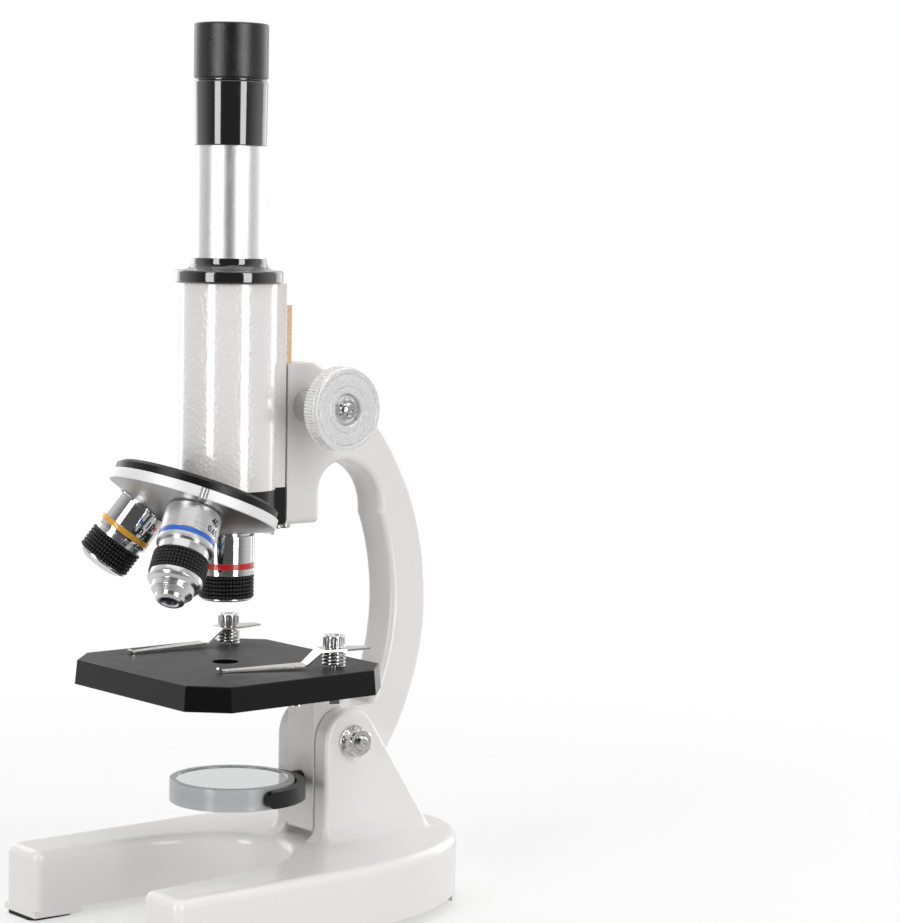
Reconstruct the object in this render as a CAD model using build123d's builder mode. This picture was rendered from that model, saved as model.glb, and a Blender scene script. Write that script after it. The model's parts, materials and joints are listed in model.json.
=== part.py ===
from build123d import *
from math import atan, cos, degrees, pi, radians, sin, sqrt, tan
import os

os.makedirs("parts", exist_ok=True)

# A student microscope: horseshoe base, inclining arm, rack and pinion focus, a revolving
# nosepiece with three objectives, a drop-in eyepiece, a stage with two clips and a mirror.
# Millimetres. +Z is up, +Y runs from the leg tips to the heel of the base, and the origin is
# the middle of the footprint. Distances called "back" are measured behind the optical axis,
# and heights are measured from the table.

# ---------------------------------------------------------------- driving dimensions
tube_y = -23.0  # the optical axis stands this far from the middle of the footprint
running_gap = 0.05  # radial clearance of a shaft in its bore
skin_gap = 0.3  # clearance between curved faces that pass each other

# Base
base_half_width = 62.5
base_front = -67.0
base_straight_end = 20.0
base_heel = 113.0
base_top = 29.5
leg_gap_half_tip = 41.0
leg_gap_half_root = 36.5
leg_gap_straight_end = -25.0
leg_gap_end = 27.0
base_wall = 5.0
base_roof = 5.0
pad_thickness = 1.6
skirt_height = 4.1
toe_block = 22.0
base_edge_fillet = 4.0
tip_corner_fillet = 4.0
pad_width = 20.8
pad_length = 20.8
heel_pad_width = 36.0
heel_pad_length = 12.0
heel_pad_back = 99.0
tip_pad_offset = 51.9

# Fork cheeks of the base and the inclination pivot
pivot_back = 53.5
pivot_height = 71.5
cheek_inner = 9.75
cheek_outer = 17.5
cheek_radius = 13.5
cheek_slope = 56.3
cheek_blend = 6.0
cheek_edge_fillet = 2.2
pivot_bolt_radius = 3.0
pivot_bolt_end = 25.5
washer_radius = 7.0
washer_thickness = 1.2
nut_flats = 11.0
nut_height = 5.0

# Arm
arm_half_width = 9.0
arm_front = 24.0
arm_bottom = 164.0
arm_top = 231.0
arm_center_back = -15.9
arm_center_height = 129.0
arm_outer_radius = 116.4
arm_inner_radius = 97.2
arm_edge_fillet = 3.0
lug_back = 41.6
window_arch_start = 177.0
window_top_back = 54.5
window_top = 189.0
window_arch_end = 166.0
window_bottom = 84.5
block_front = 39.5
block_bottom = 32.2
lug_front = 28.0
lug_bottom = 88.5
lug_step = 97.2
lug_rear = 47.0
lug_rear_low = 52.0

# Stage
stage_top = 107.9
stage_half_width = 51.8
stage_front = -47.1
stage_rear = 50.1
stage_corner = 12.8
stage_depth = 10.2
stage_plate = 4.0
stage_rim = 2.6
stage_draft = 5.0
stage_hole_radius = 5.5
stage_screw_spread = 9.0
stage_screw_back = 33.5
stage_screw_radius = 2.0

# Stage clips
clip_post_side = 36.8
clip_post_back = 28.0
clip_post_radius = 2.0
clip_head_radius = 4.45
clip_head_bottom = 8.0
clip_head_top = 13.4
clip_thickness = 0.8
clip_tip_reach = 48.0
clip_tail_reach = 15.0
clip_hole_radius = 3.0
clip_turns = {"right": 18.0, "left": -2.0}
spring_mean_radius = 4.4
spring_wire = 1.0
spring_coils = 4.0

# Focus rack, pinion and knobs
pinion_back = 34.3
pinion_height = 213.4
gear_module = 0.7
pinion_teeth = 14
rack_addendum = 0.5
pinion_addendum = 0.7
gear_backlash = 0.12
pressure_angle = 20.0
rack_low = 181.0
rack_high = 255.0
rack_face_back = 28.5
rack_head_front = 26.06
rack_neck_half = 3.5
rack_head_half = 5.0
rack_teeth_half = 3.0
slot_lip = 2.0
slot_bottom = 170.0
slot_channel_back = 31.2
shaft_radius = 3.0
shaft_end = 38.2
bush_bore_radius = 6.0
bush_neck_radius = 7.4
bush_inner_end = 5.3
bush_outer_end = 27.6
knob_inner = 28.2
knob_outer = 36.2
knob_radius = 17.4
knob_flutes = 80
knob_flute_radius = 0.45
knob_recess_radius = 6.3
knob_recess_depth = 2.4
knob_nut_flats = 7.0
knob_nut_height = 2.6

# Body tube, collar, draw tube and eyepiece
tube_radius = 20.0
tube_bore = 17.0
tube_low = 180.0
tube_high = 264.0
pad_half_width = 9.0
pad_back = 23.4
collar_radius = 22.15
collar_flange_top = 269.4
collar_top = 274.3
collar_neck_radius = 15.1
collar_spigot = 8.0
draw_radius = 14.25
draw_bore = 11.65
draw_low = 257.0
draw_high = 319.7
insert_radius = 11.6
insert_bore = 10.6
insert_low = 291.0
barrel_top = 346.3
barrel_low_radius = 14.75
barrel_top_radius = 15.15
cup_top = 368.8
eye_lens_height = 353.0

# Nosepiece
cone_apex = 218.5
cone_angle = 21.25
objective_seat = 57.5
turret_radius = 35.3
turret_rim_top = 43.5
turret_rim_bottom = 47.5
turret_wall = 4.0
turret_notch_radius = 1.6
carrier_radius = 34.3
carrier_top = 39.2
carrier_bottom = 43.2
carrier_slab_low = 164.4
turret_pin_radius = 3.0
thread_radius = 10.1
thread_height = 4.6
objective_radius = 11.5
objective_bore = 7.5
objective_neck = 10.4
neck_engagement = 4.0
neck_wall = 1.4
grip_radius = 11.4
ring_depth = 0.35
lens_rim = 1.6
sprung_travel = 2.0
# Each objective, measured down from its shoulder: turn about the nosepiece, colour ring top
# and bottom, end of the barrel, grip top and bottom, then the steps of the nose as pairs of
# drop and radius.
objectives = {
    "objective_4x": (0, (11.3, 13.7), 16.4, (16.4, 25.9), ((27.0, 10.8),)),
    "objective_10x": (120, (10.9, 13.1), 15.2, (17.2, 27.0), ((28.4, 10.2), (30.0, 6.6))),
    "objective_40x": (-120, (11.4, 13.6), 15.8, (20.0, 29.2),
                      ((32.6, 10.6), (36.8, 8.4), (40.2, 5.2))),
}

# Mirror
mirror_back = 4.0
mirror_height = 54.3
mirror_radius = 26.0
mirror_depth = 9.5
mirror_glass_radius = 23.4
mirror_glass = 2.0
fork_inner_radius = 27.0
fork_outer_radius = 30.6
fork_depth = 7.0
fork_pin_radius = 1.6
stem_radius = 3.0
stem_depth = 12.0


# ---------------------------------------------------------------- planes and axes
def side_plane(x=0.0):
    """Fore-and-aft plane: its x runs back from the optical axis and its y is the height."""
    return Plane(origin=(x, tube_y, 0), x_dir=(0, 1, 0), z_dir=(1, 0, 0))


def level(height, x=0.0, back=0.0):
    """Horizontal plane centred on a point behind the optical axis."""
    return Plane(origin=(x, tube_y + back, height))


def cross_plane(height, back=0.0):
    """Plane facing the leg tips: its x runs to the right and its y goes up."""
    return Plane(origin=(0, tube_y + back, height), x_dir=(1, 0, 0), z_dir=(0, -1, 0))


tube_axis = Axis((0, tube_y, 0), (0, 0, 1))
knob_axis = Axis((0, tube_y + pinion_back, pinion_height), (1, 0, 0))
pivot_axis = Axis((0, tube_y + pivot_back, pivot_height), (1, 0, 0))
cone_lean = radians(cone_angle)
apex = Vector(0, tube_y, cone_apex)
turret_up = Vector(0, sin(cone_lean), cos(cone_lean))
turret_axis = Axis(apex, turret_up)
turret_section = Plane(origin=apex, x_dir=(1, 0, 0), z_dir=Vector(1, 0, 0).cross(turret_up))


def turret_level(distance):
    """Plane square to the turret's axis, this far below the apex."""
    return Plane(origin=apex - turret_up * distance, x_dir=(1, 0, 0), z_dir=turret_up)


def lies_at(x):
    """Test for edges whose middle is this far to either side of the plane of symmetry."""
    return lambda edge: abs(abs(edge.center().X) - x) < 0.01


def on_arm_arc(radius, height):
    """Point of one of the arm's two big arcs at a height."""
    reach = sqrt(radius**2 - (height - arm_center_height) ** 2)
    return (arm_center_back + reach, height)


# ---------------------------------------------------------------- base
def draw_base_plan(inset):
    """Adds the horseshoe outline, drawn in by inset, to the open sketch."""
    straight = base_straight_end - base_front
    with Locations((0, base_straight_end)):
        Ellipse(base_half_width - inset, base_heel - base_straight_end - inset)
    with Locations((0, base_front + inset + (straight - inset) / 2)):
        Rectangle(2 * (base_half_width - inset), straight - inset)
    tip = leg_gap_half_tip + inset
    root = leg_gap_half_root + inset
    beyond = base_front - base_half_width / 2
    Polygon((-tip, beyond), (tip, beyond), (root, leg_gap_straight_end),
            (-root, leg_gap_straight_end), align=None, mode=Mode.SUBTRACT)
    with Locations((0, leg_gap_straight_end)):
        Ellipse(root, leg_gap_end - leg_gap_straight_end + inset, mode=Mode.SUBTRACT)


cheek_lean = radians(90 - cheek_slope)
cheek_shoulder = (pivot_back + cheek_radius * cos(cheek_lean),
                  pivot_height + cheek_radius * sin(cheek_lean))
cheek_foot = base_top - base_roof / 2
cheek_heel = cheek_shoulder[0] + (cheek_shoulder[1] - cheek_foot) * tan(cheek_lean)
cheek_front = pivot_back - cheek_radius
with BuildPart() as base_casting:
    with BuildSketch(level(skirt_height)):
        draw_base_plan(0)
    extrude(amount=base_top - skirt_height)
    fillet(base_casting.edges().filter_by(Axis.Z).group_by(Axis.Y)[0], tip_corner_fillet)
    fillet(base_casting.faces().sort_by(Axis.Z)[-1].outer_wire().edges(), base_edge_fillet)
    for side in (-1, 1):
        with BuildSketch(side_plane(side * cheek_inner)):
            with BuildLine():
                front = Line((cheek_front, cheek_foot), (cheek_front, pivot_height))
                crown = ThreePointArc(front @ 1, (pivot_back, pivot_height + cheek_radius),
                                      cheek_shoulder)
                Polyline(crown @ 1, (cheek_heel, cheek_foot), front @ 0)
            make_face()
        extrude(amount=side * (cheek_outer - cheek_inner))
    outline = base_casting.edges().filter_by(lies_at(cheek_outer)).sort_by(Axis.Z)
    fillet(outline[2:], cheek_edge_fillet)
    feet = base_casting.edges().filter_by_position(Axis.Z, base_top - 0.01, base_top + 0.01)
    feet = feet.filter_by(GeomType.LINE).sort_by(lambda e: abs(abs(e.center().X) - cheek_outer))
    fillet(feet[:6], cheek_blend)
    for low, high in ((base_front, base_front + toe_block), (base_heel - toe_block, base_heel)):
        with BuildSketch(level(pad_thickness)):
            draw_base_plan(0)
            with Locations((0, (low + high) / 2)):
                Rectangle(2 * base_half_width, high - low, mode=Mode.INTERSECT)
        extrude(amount=skirt_height - pad_thickness)
    hollow_low = base_front + toe_block
    hollow_high = base_heel - toe_block
    with BuildSketch(level(skirt_height)):
        draw_base_plan(base_wall)
        with Locations((0, (hollow_low + hollow_high) / 2)):
            Rectangle(2 * base_half_width, hollow_high - hollow_low, mode=Mode.INTERSECT)
    extrude(amount=base_top - base_roof - skirt_height, mode=Mode.SUBTRACT)
    with BuildSketch(side_plane()):
        with Locations((pivot_back, pivot_height)):
            Circle(pivot_bolt_radius + running_gap)
    extrude(amount=cheek_outer, both=True, mode=Mode.SUBTRACT)
base_casting.part.label = "base_casting"
export_step(base_casting.part, "parts/base_casting.step")

with BuildPart() as foot_pads:
    with BuildSketch(level(0)):
        with Locations((-tip_pad_offset, base_front + pad_length / 2 + running_gap),
                       (tip_pad_offset, base_front + pad_length / 2 + running_gap)):
            RectangleRounded(pad_width, pad_length, tip_corner_fillet)
        with Locations((0, heel_pad_back)):
            RectangleRounded(heel_pad_width, heel_pad_length, base_edge_fillet / 2)
    extrude(amount=pad_thickness)
foot_pads.part.label = "foot_pads"
export_step(foot_pads.part, "parts/foot_pads.step")

# ---------------------------------------------------------------- inclination pivot
with BuildPart() as pivot_bolt:
    with BuildSketch(side_plane(-cheek_outer - washer_thickness)):
        with Locations((pivot_back, pivot_height)):
            Circle(pivot_bolt_radius)
    extrude(amount=cheek_outer + washer_thickness + pivot_bolt_end)
    with BuildSketch(side_plane(-cheek_outer - washer_thickness)):
        with Locations((pivot_back, pivot_height)):
            RegularPolygon(nut_flats / 2, 6, major_radius=False)
    extrude(amount=-nut_height)
    chamfer(pivot_bolt.faces().sort_by(Axis.X)[-1].edges(), pivot_bolt_radius / 6)
pivot_bolt.part.label = "pivot_bolt"
export_step(pivot_bolt.part, "parts/pivot_bolt.step")

with BuildPart() as pivot_nut:
    with BuildSketch(side_plane(cheek_outer + washer_thickness)):
        with Locations((pivot_back, pivot_height)):
            RegularPolygon(nut_flats / 2, 6, major_radius=False)
            Circle(pivot_bolt_radius, mode=Mode.SUBTRACT)
    extrude(amount=nut_height)
pivot_nut.part.label = "pivot_nut"
export_step(pivot_nut.part, "parts/pivot_nut.step")

with BuildPart() as pivot_washers:
    for x in (-cheek_outer - washer_thickness, cheek_outer):
        with BuildSketch(side_plane(x)):
            with Locations((pivot_back, pivot_height)):
                Circle(washer_radius)
                Circle(pivot_bolt_radius, mode=Mode.SUBTRACT)
        extrude(amount=washer_thickness)
pivot_washers.part.label = "pivot_washers"
export_step(pivot_washers.part, "parts/pivot_washers.step")

friction_gap = cheek_inner - arm_half_width
with BuildPart() as friction_washers:
    for x in (-cheek_inner, arm_half_width):
        with BuildSketch(side_plane(x)):
            with Locations((pivot_back, pivot_height)):
                Circle(cheek_radius * 0.75)
                Circle(pivot_bolt_radius + running_gap, mode=Mode.SUBTRACT)
        extrude(amount=friction_gap)
friction_washers.part.label = "friction_washers"
export_step(friction_washers.part, "parts/friction_washers.step")

# ---------------------------------------------------------------- arm
mirror_boss_back = mirror_back + fork_outer_radius
stop_screw_back = (arm_front + slot_channel_back) / 2 + slot_lip
stop_screw_radius = 1.5
with BuildPart() as arm_casting:
    with BuildSketch(side_plane()):
        with BuildLine():
            spine = ThreePointArc(on_arm_arc(arm_outer_radius, arm_top),
                                  on_arm_arc(arm_outer_radius, arm_center_height),
                                  on_arm_arc(arm_outer_radius, pivot_height - cheek_radius / 2))
            block = FilletPolyline(spine @ 1, (block_front + 10.5, block_bottom + 1.3),
                                   (block_front, block_bottom), (block_front, lug_bottom),
                                   (lug_front, lug_bottom), (lug_front, stage_top - stage_plate),
                                   (lug_rear, stage_top - stage_plate), (lug_rear, lug_step),
                                   (lug_rear_low, lug_step), (lug_rear_low, window_bottom),
                                   on_arm_arc(arm_inner_radius, window_bottom),
                                   radius=(6, 1.5, 1, 4, 1, 1, 0.5, 1, 4))
            inner = ThreePointArc(block @ 1, on_arm_arc(arm_inner_radius, arm_center_height),
                                  on_arm_arc(arm_inner_radius, window_arch_end))
            lug_arch = TangentArc((lug_back, window_arch_start), (window_top_back, window_top),
                                  tangent=(0, 1))
            crown = TangentArc(lug_arch @ 1, inner @ 1, tangent=lug_arch % 1)
            FilletPolyline(lug_arch @ 0, (lug_back, arm_bottom), (arm_front, arm_bottom),
                           (arm_front, arm_top), spine @ 0, radius=(1.5, 0, 0))
        make_face()
    extrude(amount=arm_half_width, both=True)
    outline = arm_casting.edges().filter_by(lies_at(arm_half_width))
    fillet(outline.filter_by(GeomType.CIRCLE).sort_by(SortBy.LENGTH)[-6:-2], arm_edge_fillet)
    outline = arm_casting.edges().filter_by(lies_at(arm_half_width))
    fillet(outline.filter_by(GeomType.CIRCLE).sort_by(SortBy.LENGTH)[-2:], arm_edge_fillet)
    slot_length = arm_top - slot_bottom
    lip_back = arm_front + slot_lip
    with BuildSketch(level(arm_top)):
        with Locations((0, arm_front + slot_lip / 2)):
            Rectangle(2 * (rack_neck_half + running_gap), slot_lip)
        with Locations((0, (lip_back + rack_face_back + running_gap) / 2)):
            Rectangle(2 * (rack_head_half + running_gap), rack_face_back + running_gap - lip_back)
        with Locations((0, (lip_back + slot_channel_back) / 2)):
            Rectangle(2 * (rack_teeth_half + skin_gap), slot_channel_back - lip_back)
    extrude(amount=-slot_length, mode=Mode.SUBTRACT)
    with BuildSketch(side_plane()):
        with Locations((pinion_back, pinion_height)):
            Circle(bush_bore_radius)
        with Locations((pivot_back, pivot_height)):
            Circle(pivot_bolt_radius + running_gap)
    extrude(amount=arm_half_width, both=True, mode=Mode.SUBTRACT)
    with BuildSketch(cross_plane(mirror_height, block_front)):
        Circle(stem_radius)
    extrude(amount=-stem_depth, mode=Mode.SUBTRACT)
    with BuildSketch(level(lug_bottom, back=stage_screw_back)):
        with GridLocations(stage_screw_spread, 1, 2, 1):
            Circle(stage_screw_radius)
    extrude(amount=stage_top - stage_plate - lug_bottom, mode=Mode.SUBTRACT)
    with BuildSketch(level(arm_bottom, back=stop_screw_back)):
        Circle(stop_screw_radius)
    extrude(amount=slot_bottom - arm_bottom, mode=Mode.SUBTRACT)
arm_casting.part.label = "arm_casting"
export_step(arm_casting.part, "parts/arm_casting.step")

with BuildPart() as stop_screw:
    with BuildSketch(level(arm_bottom, back=stop_screw_back)):
        Circle(stop_screw_radius)
    extrude(amount=slot_bottom - arm_bottom + stop_screw_radius * 3)
    with BuildSketch(level(arm_bottom, back=stop_screw_back)):
        Circle(stop_screw_radius * 1.7)
    extrude(amount=-stop_screw_radius * 1.5)
    fillet(stop_screw.edges().group_by(Axis.Z)[0], stop_screw_radius * 0.6)
stop_screw.part.label = "stop_screw"
export_step(stop_screw.part, "parts/stop_screw.step")

with BuildPart() as pinion_bushings:
    with BuildSketch(Plane(origin=knob_axis.position, x_dir=(1, 0, 0), z_dir=(0, -1, 0))):
        with BuildLine():
            Polyline((bush_inner_end, shaft_radius + running_gap), (bush_inner_end, bush_bore_radius),
                     (arm_half_width, bush_bore_radius), (arm_half_width, bush_neck_radius),
                     (bush_outer_end, bush_neck_radius),
                     (bush_outer_end, shaft_radius + running_gap), close=True)
        make_face()
    revolve(axis=knob_axis)
    mirror(about=Plane.YZ)
pinion_bushings.part.label = "pinion_bushings"
export_step(pinion_bushings.part, "parts/pinion_bushings.step")

# ---------------------------------------------------------------- focus rack, pinion, knobs
pitch_radius = gear_module * pinion_teeth / 2
pitch = pi * gear_module
pitch_line = pinion_back - pitch_radius
flank = tan(radians(pressure_angle))
tooth_half = pitch / 4 - gear_backlash / 2


def involute_half_angle(radius):
    """Half the angle that a pinion tooth takes up at a radius, in degrees."""
    base_radius = pitch_radius * cos(radians(pressure_angle))
    roll = sqrt(max(radius**2 / base_radius**2 - 1, 0))
    involute = roll - atan(roll)
    at_pitch = flank - radians(pressure_angle)
    return degrees(tooth_half / pitch_radius + at_pitch - involute)


def pinion_flank(steps=5):
    """Points of one tooth flank from the root to the tip, as radius and half angle."""
    root = pitch_radius - rack_addendum - gear_module / 4
    low = pitch_radius * cos(radians(pressure_angle))
    tip = pitch_radius + pinion_addendum
    radii = [low + (tip - low) * step / steps for step in range(steps + 1)]
    return [(root, involute_half_angle(low))] + [(r, involute_half_angle(r)) for r in radii]


def pinion_tooth(turn):
    """One tooth's outline, centred on an angle."""
    rising = [(r * cos(radians(turn - a)), r * sin(radians(turn - a))) for r, a in pinion_flank()]
    falling = [(r * cos(radians(turn + a)), r * sin(radians(turn + a))) for r, a in pinion_flank()]
    return rising + falling[::-1]


with BuildPart() as pinion_gear:
    with BuildSketch(side_plane(-rack_teeth_half)):
        with Locations((pinion_back, pinion_height)):
            Circle(pinion_flank()[0][0])
            for tooth in range(pinion_teeth):
                Polygon(*pinion_tooth(180 + tooth * 360 / pinion_teeth), align=None)
            Circle(shaft_radius, mode=Mode.SUBTRACT)
    extrude(amount=2 * rack_teeth_half)
pinion_gear.part.label = "pinion_gear"
export_step(pinion_gear.part, "parts/pinion_gear.step")

with BuildPart() as pinion_shaft:
    with BuildSketch(side_plane(-shaft_end)):
        with Locations((pinion_back, pinion_height)):
            Circle(shaft_radius)
    extrude(amount=2 * shaft_end)
    chamfer(pinion_shaft.edges().filter_by(GeomType.CIRCLE), shaft_radius / 5)
pinion_shaft.part.label = "pinion_shaft"
export_step(pinion_shaft.part, "parts/pinion_shaft.step")

rack_teeth = int((rack_high - rack_low) / pitch) - 1
rack_first = pinion_height - pitch * (int((pinion_height - rack_low) / pitch) - 0.5)
with BuildPart() as rack:
    with BuildSketch(level(rack_low)):
        with Locations((0, (pad_back + rack_head_front) / 2)):
            Rectangle(2 * rack_neck_half, rack_head_front - pad_back)
        with Locations((0, (rack_head_front + rack_face_back) / 2)):
            Rectangle(2 * rack_head_half, rack_face_back - rack_head_front)
    extrude(amount=rack_high - rack_low)
    with BuildSketch(side_plane(-rack_teeth_half)):
        for tooth in range(rack_teeth):
            height = rack_first + tooth * pitch
            reach = pitch_line + rack_addendum
            root = rack_face_back - gear_module / 4
            at_tip = tooth_half - rack_addendum * flank
            at_root = tooth_half + (pitch_line - root) * flank
            Polygon((root, height - at_root), (reach, height - at_tip), (reach, height + at_tip),
                    (root, height + at_root), align=None)
    extrude(amount=2 * rack_teeth_half)
rack.part.label = "rack"
export_step(rack.part, "parts/rack.step")

for hand, name in ((-1, "focus_knob_left"), (1, "focus_knob_right")):
    with BuildPart() as focus_knob:
        with BuildSketch(side_plane(hand * knob_inner)):
            with Locations((pinion_back, pinion_height)):
                Circle(knob_radius)
                with PolarLocations(knob_radius, knob_flutes):
                    Circle(knob_flute_radius, mode=Mode.SUBTRACT)
                Circle(shaft_radius, mode=Mode.SUBTRACT)
        extrude(amount=hand * (knob_outer - knob_inner))
        with BuildSketch(side_plane(hand * knob_outer)):
            with Locations((pinion_back, pinion_height)):
                Circle(knob_recess_radius)
        extrude(amount=-hand * knob_recess_depth, mode=Mode.SUBTRACT)
    focus_knob.part.label = name
    export_step(focus_knob.part, f"parts/{name}.step")

with BuildPart() as knob_nuts:
    for hand in (-1, 1):
        with BuildSketch(side_plane(hand * (knob_outer - knob_recess_depth))):
            with Locations((pinion_back, pinion_height)):
                RegularPolygon(knob_nut_flats / 2 + 0.6, 6, major_radius=False)
                Circle(shaft_radius, mode=Mode.SUBTRACT)
        extrude(amount=hand * knob_nut_height)
knob_nuts.part.label = "knob_nuts"
export_step(knob_nuts.part, "parts/knob_nuts.step")

# ---------------------------------------------------------------- body tube and optics tube
meridian = Plane(origin=(0, tube_y, 0), x_dir=(1, 0, 0), z_dir=(0, -1, 0))


def turned(profile, section, axis):
    """A solid turned about an axis from its half section, given as points on a plane."""
    with BuildPart() as solid:
        with BuildSketch(section):
            Polygon(*profile, align=None)
        revolve(axis=axis)
    return solid.part


with BuildPart() as body_tube:
    with BuildSketch(level(tube_low)):
        Circle(tube_radius)
        with Locations((0, pad_back / 2)):
            Rectangle(2 * pad_half_width, pad_back)
        Circle(tube_bore, mode=Mode.SUBTRACT)
    extrude(amount=tube_high - tube_low)
    with BuildSketch(turret_level(carrier_top)):
        Circle(3 * carrier_radius)
    extrude(amount=-3 * carrier_radius, mode=Mode.SUBTRACT)
    corners = body_tube.edges().filter_by(Axis.Z).group_by(Axis.Y)[-1]
    fillet(corners, skin_gap * 3)
body_tube.part.label = "body_tube"
export_step(body_tube.part, "parts/body_tube.step")

collar_lip = 1.2
with BuildPart() as tube_collar:
    with BuildSketch(meridian):
        with BuildLine():
            under = Polyline((draw_radius, tube_high - collar_spigot),
                             (tube_bore - running_gap, tube_high - collar_spigot),
                             (tube_bore - running_gap, tube_high), (collar_radius, tube_high),
                             (collar_radius, collar_flange_top),
                             (collar_neck_radius + 3.9, collar_flange_top))
            flare = ThreePointArc(under @ 1,
                                  (collar_neck_radius + 1.2, collar_flange_top + 1.8),
                                  (collar_neck_radius, collar_top))
            Polyline(flare @ 1, (draw_radius, collar_top), under @ 0)
        make_face()
    revolve(axis=tube_axis)
    rims = tube_collar.edges().filter_by(lambda e: abs(e.length / (2 * pi) - collar_radius) < 0.01)
    fillet(rims, collar_lip)
tube_collar.part.label = "tube_collar"
export_step(tube_collar.part, "parts/tube_collar.step")

with BuildPart() as draw_tube:
    with BuildSketch(level(draw_low)):
        Circle(draw_radius)
        Circle(draw_bore, mode=Mode.SUBTRACT)
    extrude(amount=draw_high - draw_low)
draw_tube.part.label = "draw_tube"
export_step(draw_tube.part, "parts/draw_tube.step")

baffle_height = 222.0
baffle_thickness = 1.5
with BuildPart() as tube_baffle:
    with BuildSketch(level(baffle_height)):
        Circle(tube_bore)
        Circle(tube_bore / 2, mode=Mode.SUBTRACT)
    extrude(amount=baffle_thickness)
tube_baffle.part.label = "tube_baffle"
export_step(tube_baffle.part, "parts/tube_baffle.step")

# ---------------------------------------------------------------- eyepiece
lens_seat = 12.0
with BuildPart() as eyepiece_insert:
    with BuildSketch(level(insert_low)):
        Circle(insert_radius)
        Circle(insert_bore, mode=Mode.SUBTRACT)
    extrude(amount=draw_high - insert_low)
eyepiece_insert.part.label = "eyepiece_insert"
export_step(eyepiece_insert.part, "parts/eyepiece_insert.step")

seam = 0.5
with BuildPart() as eyepiece_barrel:
    with BuildSketch(meridian):
        Polygon((insert_bore, draw_high), (barrel_low_radius - seam, draw_high),
                (barrel_low_radius, draw_high + seam), (barrel_top_radius, barrel_top - 2 * seam),
                (barrel_top_radius - seam, barrel_top - seam), (barrel_top_radius - seam, barrel_top),
                (lens_seat, barrel_top), (insert_bore, barrel_top - lens_seat), align=None)
    revolve(axis=tube_axis)
eyepiece_barrel.part.label = "eyepiece_barrel"
export_step(eyepiece_barrel.part, "parts/eyepiece_barrel.step")

cup_lens_bore = 9.0
cup_mouth = 13.0
cup_ledge = 1.5
eye_lens_thickness = 4.0
with BuildPart() as eyecup:
    with BuildSketch(meridian):
        Polygon((lens_seat, barrel_top), (barrel_top_radius, barrel_top),
                (barrel_top_radius, cup_top - 2 * seam), (barrel_top_radius - 2 * seam, cup_top),
                (cup_mouth, cup_top), (cup_lens_bore + cup_ledge, eye_lens_height + cup_ledge * 2),
                (cup_lens_bore, eye_lens_height + cup_ledge), (cup_lens_bore, eye_lens_height),
                (lens_seat - cup_ledge, eye_lens_height),
                (lens_seat - cup_ledge, eye_lens_height - eye_lens_thickness),
                (lens_seat, eye_lens_height - eye_lens_thickness), align=None)
    revolve(axis=tube_axis)
eyecup.part.label = "eyecup"
export_step(eyecup.part, "parts/eyecup.step")

for name, radius, height, thickness in (
        ("eye_lens", lens_seat - cup_ledge, eye_lens_height - eye_lens_thickness, eye_lens_thickness),
        ("field_lens", insert_bore, insert_low + cup_ledge, eye_lens_thickness)):
    with BuildPart() as lens:
        with BuildSketch(level(height)):
            Circle(radius)
        extrude(amount=thickness)
        chamfer(lens.edges().group_by(Axis.Z)[0], cup_ledge * 2, cup_ledge)
    lens.part.label = name
    export_step(lens.part, f"parts/{name}.step")

stop_height = 309.0
with BuildPart() as field_stop:
    with BuildSketch(level(stop_height)):
        Circle(insert_bore)
        Circle(insert_bore * 0.8, mode=Mode.SUBTRACT)
    extrude(amount=baffle_thickness)
field_stop.part.label = "field_stop"
export_step(field_stop.part, "parts/field_stop.step")

# ---------------------------------------------------------------- nosepiece
slope = tan(cone_lean)
seat_radius = objective_seat * sin(cone_lean)
seat_drop = objective_seat * cos(cone_lean)
boss_radius = 7.0
boss_drop = seat_drop + (seat_radius - boss_radius) * slope
carrier_skirt = 0.4


def cone_drop(radius, inset=0.0):
    """Depth of the turret's coned underside below the apex, or of a surface inside it."""
    return seat_drop + (seat_radius - radius) * slope - inset / cos(cone_lean)


with BuildPart() as turret:
    with BuildSketch(turret_section):
        inner_rim = turret_radius - turret_wall / 2
        Polygon((turret_pin_radius + running_gap, -turret_rim_top), (boss_radius, -turret_rim_top),
                (boss_radius, -cone_drop(boss_radius, turret_wall)),
                (inner_rim, -cone_drop(inner_rim, turret_wall)), (inner_rim, -turret_rim_top),
                (turret_radius, -turret_rim_top), (turret_radius, -turret_rim_bottom),
                (boss_radius, -boss_drop), (turret_pin_radius + running_gap, -boss_drop), align=None)
    revolve(axis=turret_axis)
    for turn in (0, 120, 240):
        aim = Vector(0, 0, -1).rotate(Axis((0, 0, 0), turret_up), turn)
        with BuildSketch(Plane(origin=apex + aim * (objective_seat - thread_height), z_dir=aim)):
            Circle(thread_radius)
        extrude(amount=2 * thread_height, mode=Mode.SUBTRACT)
    with BuildSketch(turret_level(turret_rim_top)):
        with PolarLocations(turret_radius, 3, 90):
            Circle(turret_notch_radius)
    extrude(amount=turret_rim_top - turret_rim_bottom, mode=Mode.SUBTRACT)
turret.part.label = "turret"
export_step(turret.part, "parts/turret.step")

pin_head_radius = 5.0
pin_head_height = 2.0
with BuildPart() as turret_pin:
    with BuildSketch(turret_section):
        Polygon((0, -carrier_top), (turret_pin_radius, -carrier_top), (turret_pin_radius, -boss_drop),
                (pin_head_radius, -boss_drop), (pin_head_radius, -boss_drop - pin_head_height),
                (0, -boss_drop - pin_head_height), align=None)
    revolve(axis=turret_axis)
turret_pin.part.label = "turret_pin"
export_step(turret_pin.part, "parts/turret_pin.step")

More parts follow.
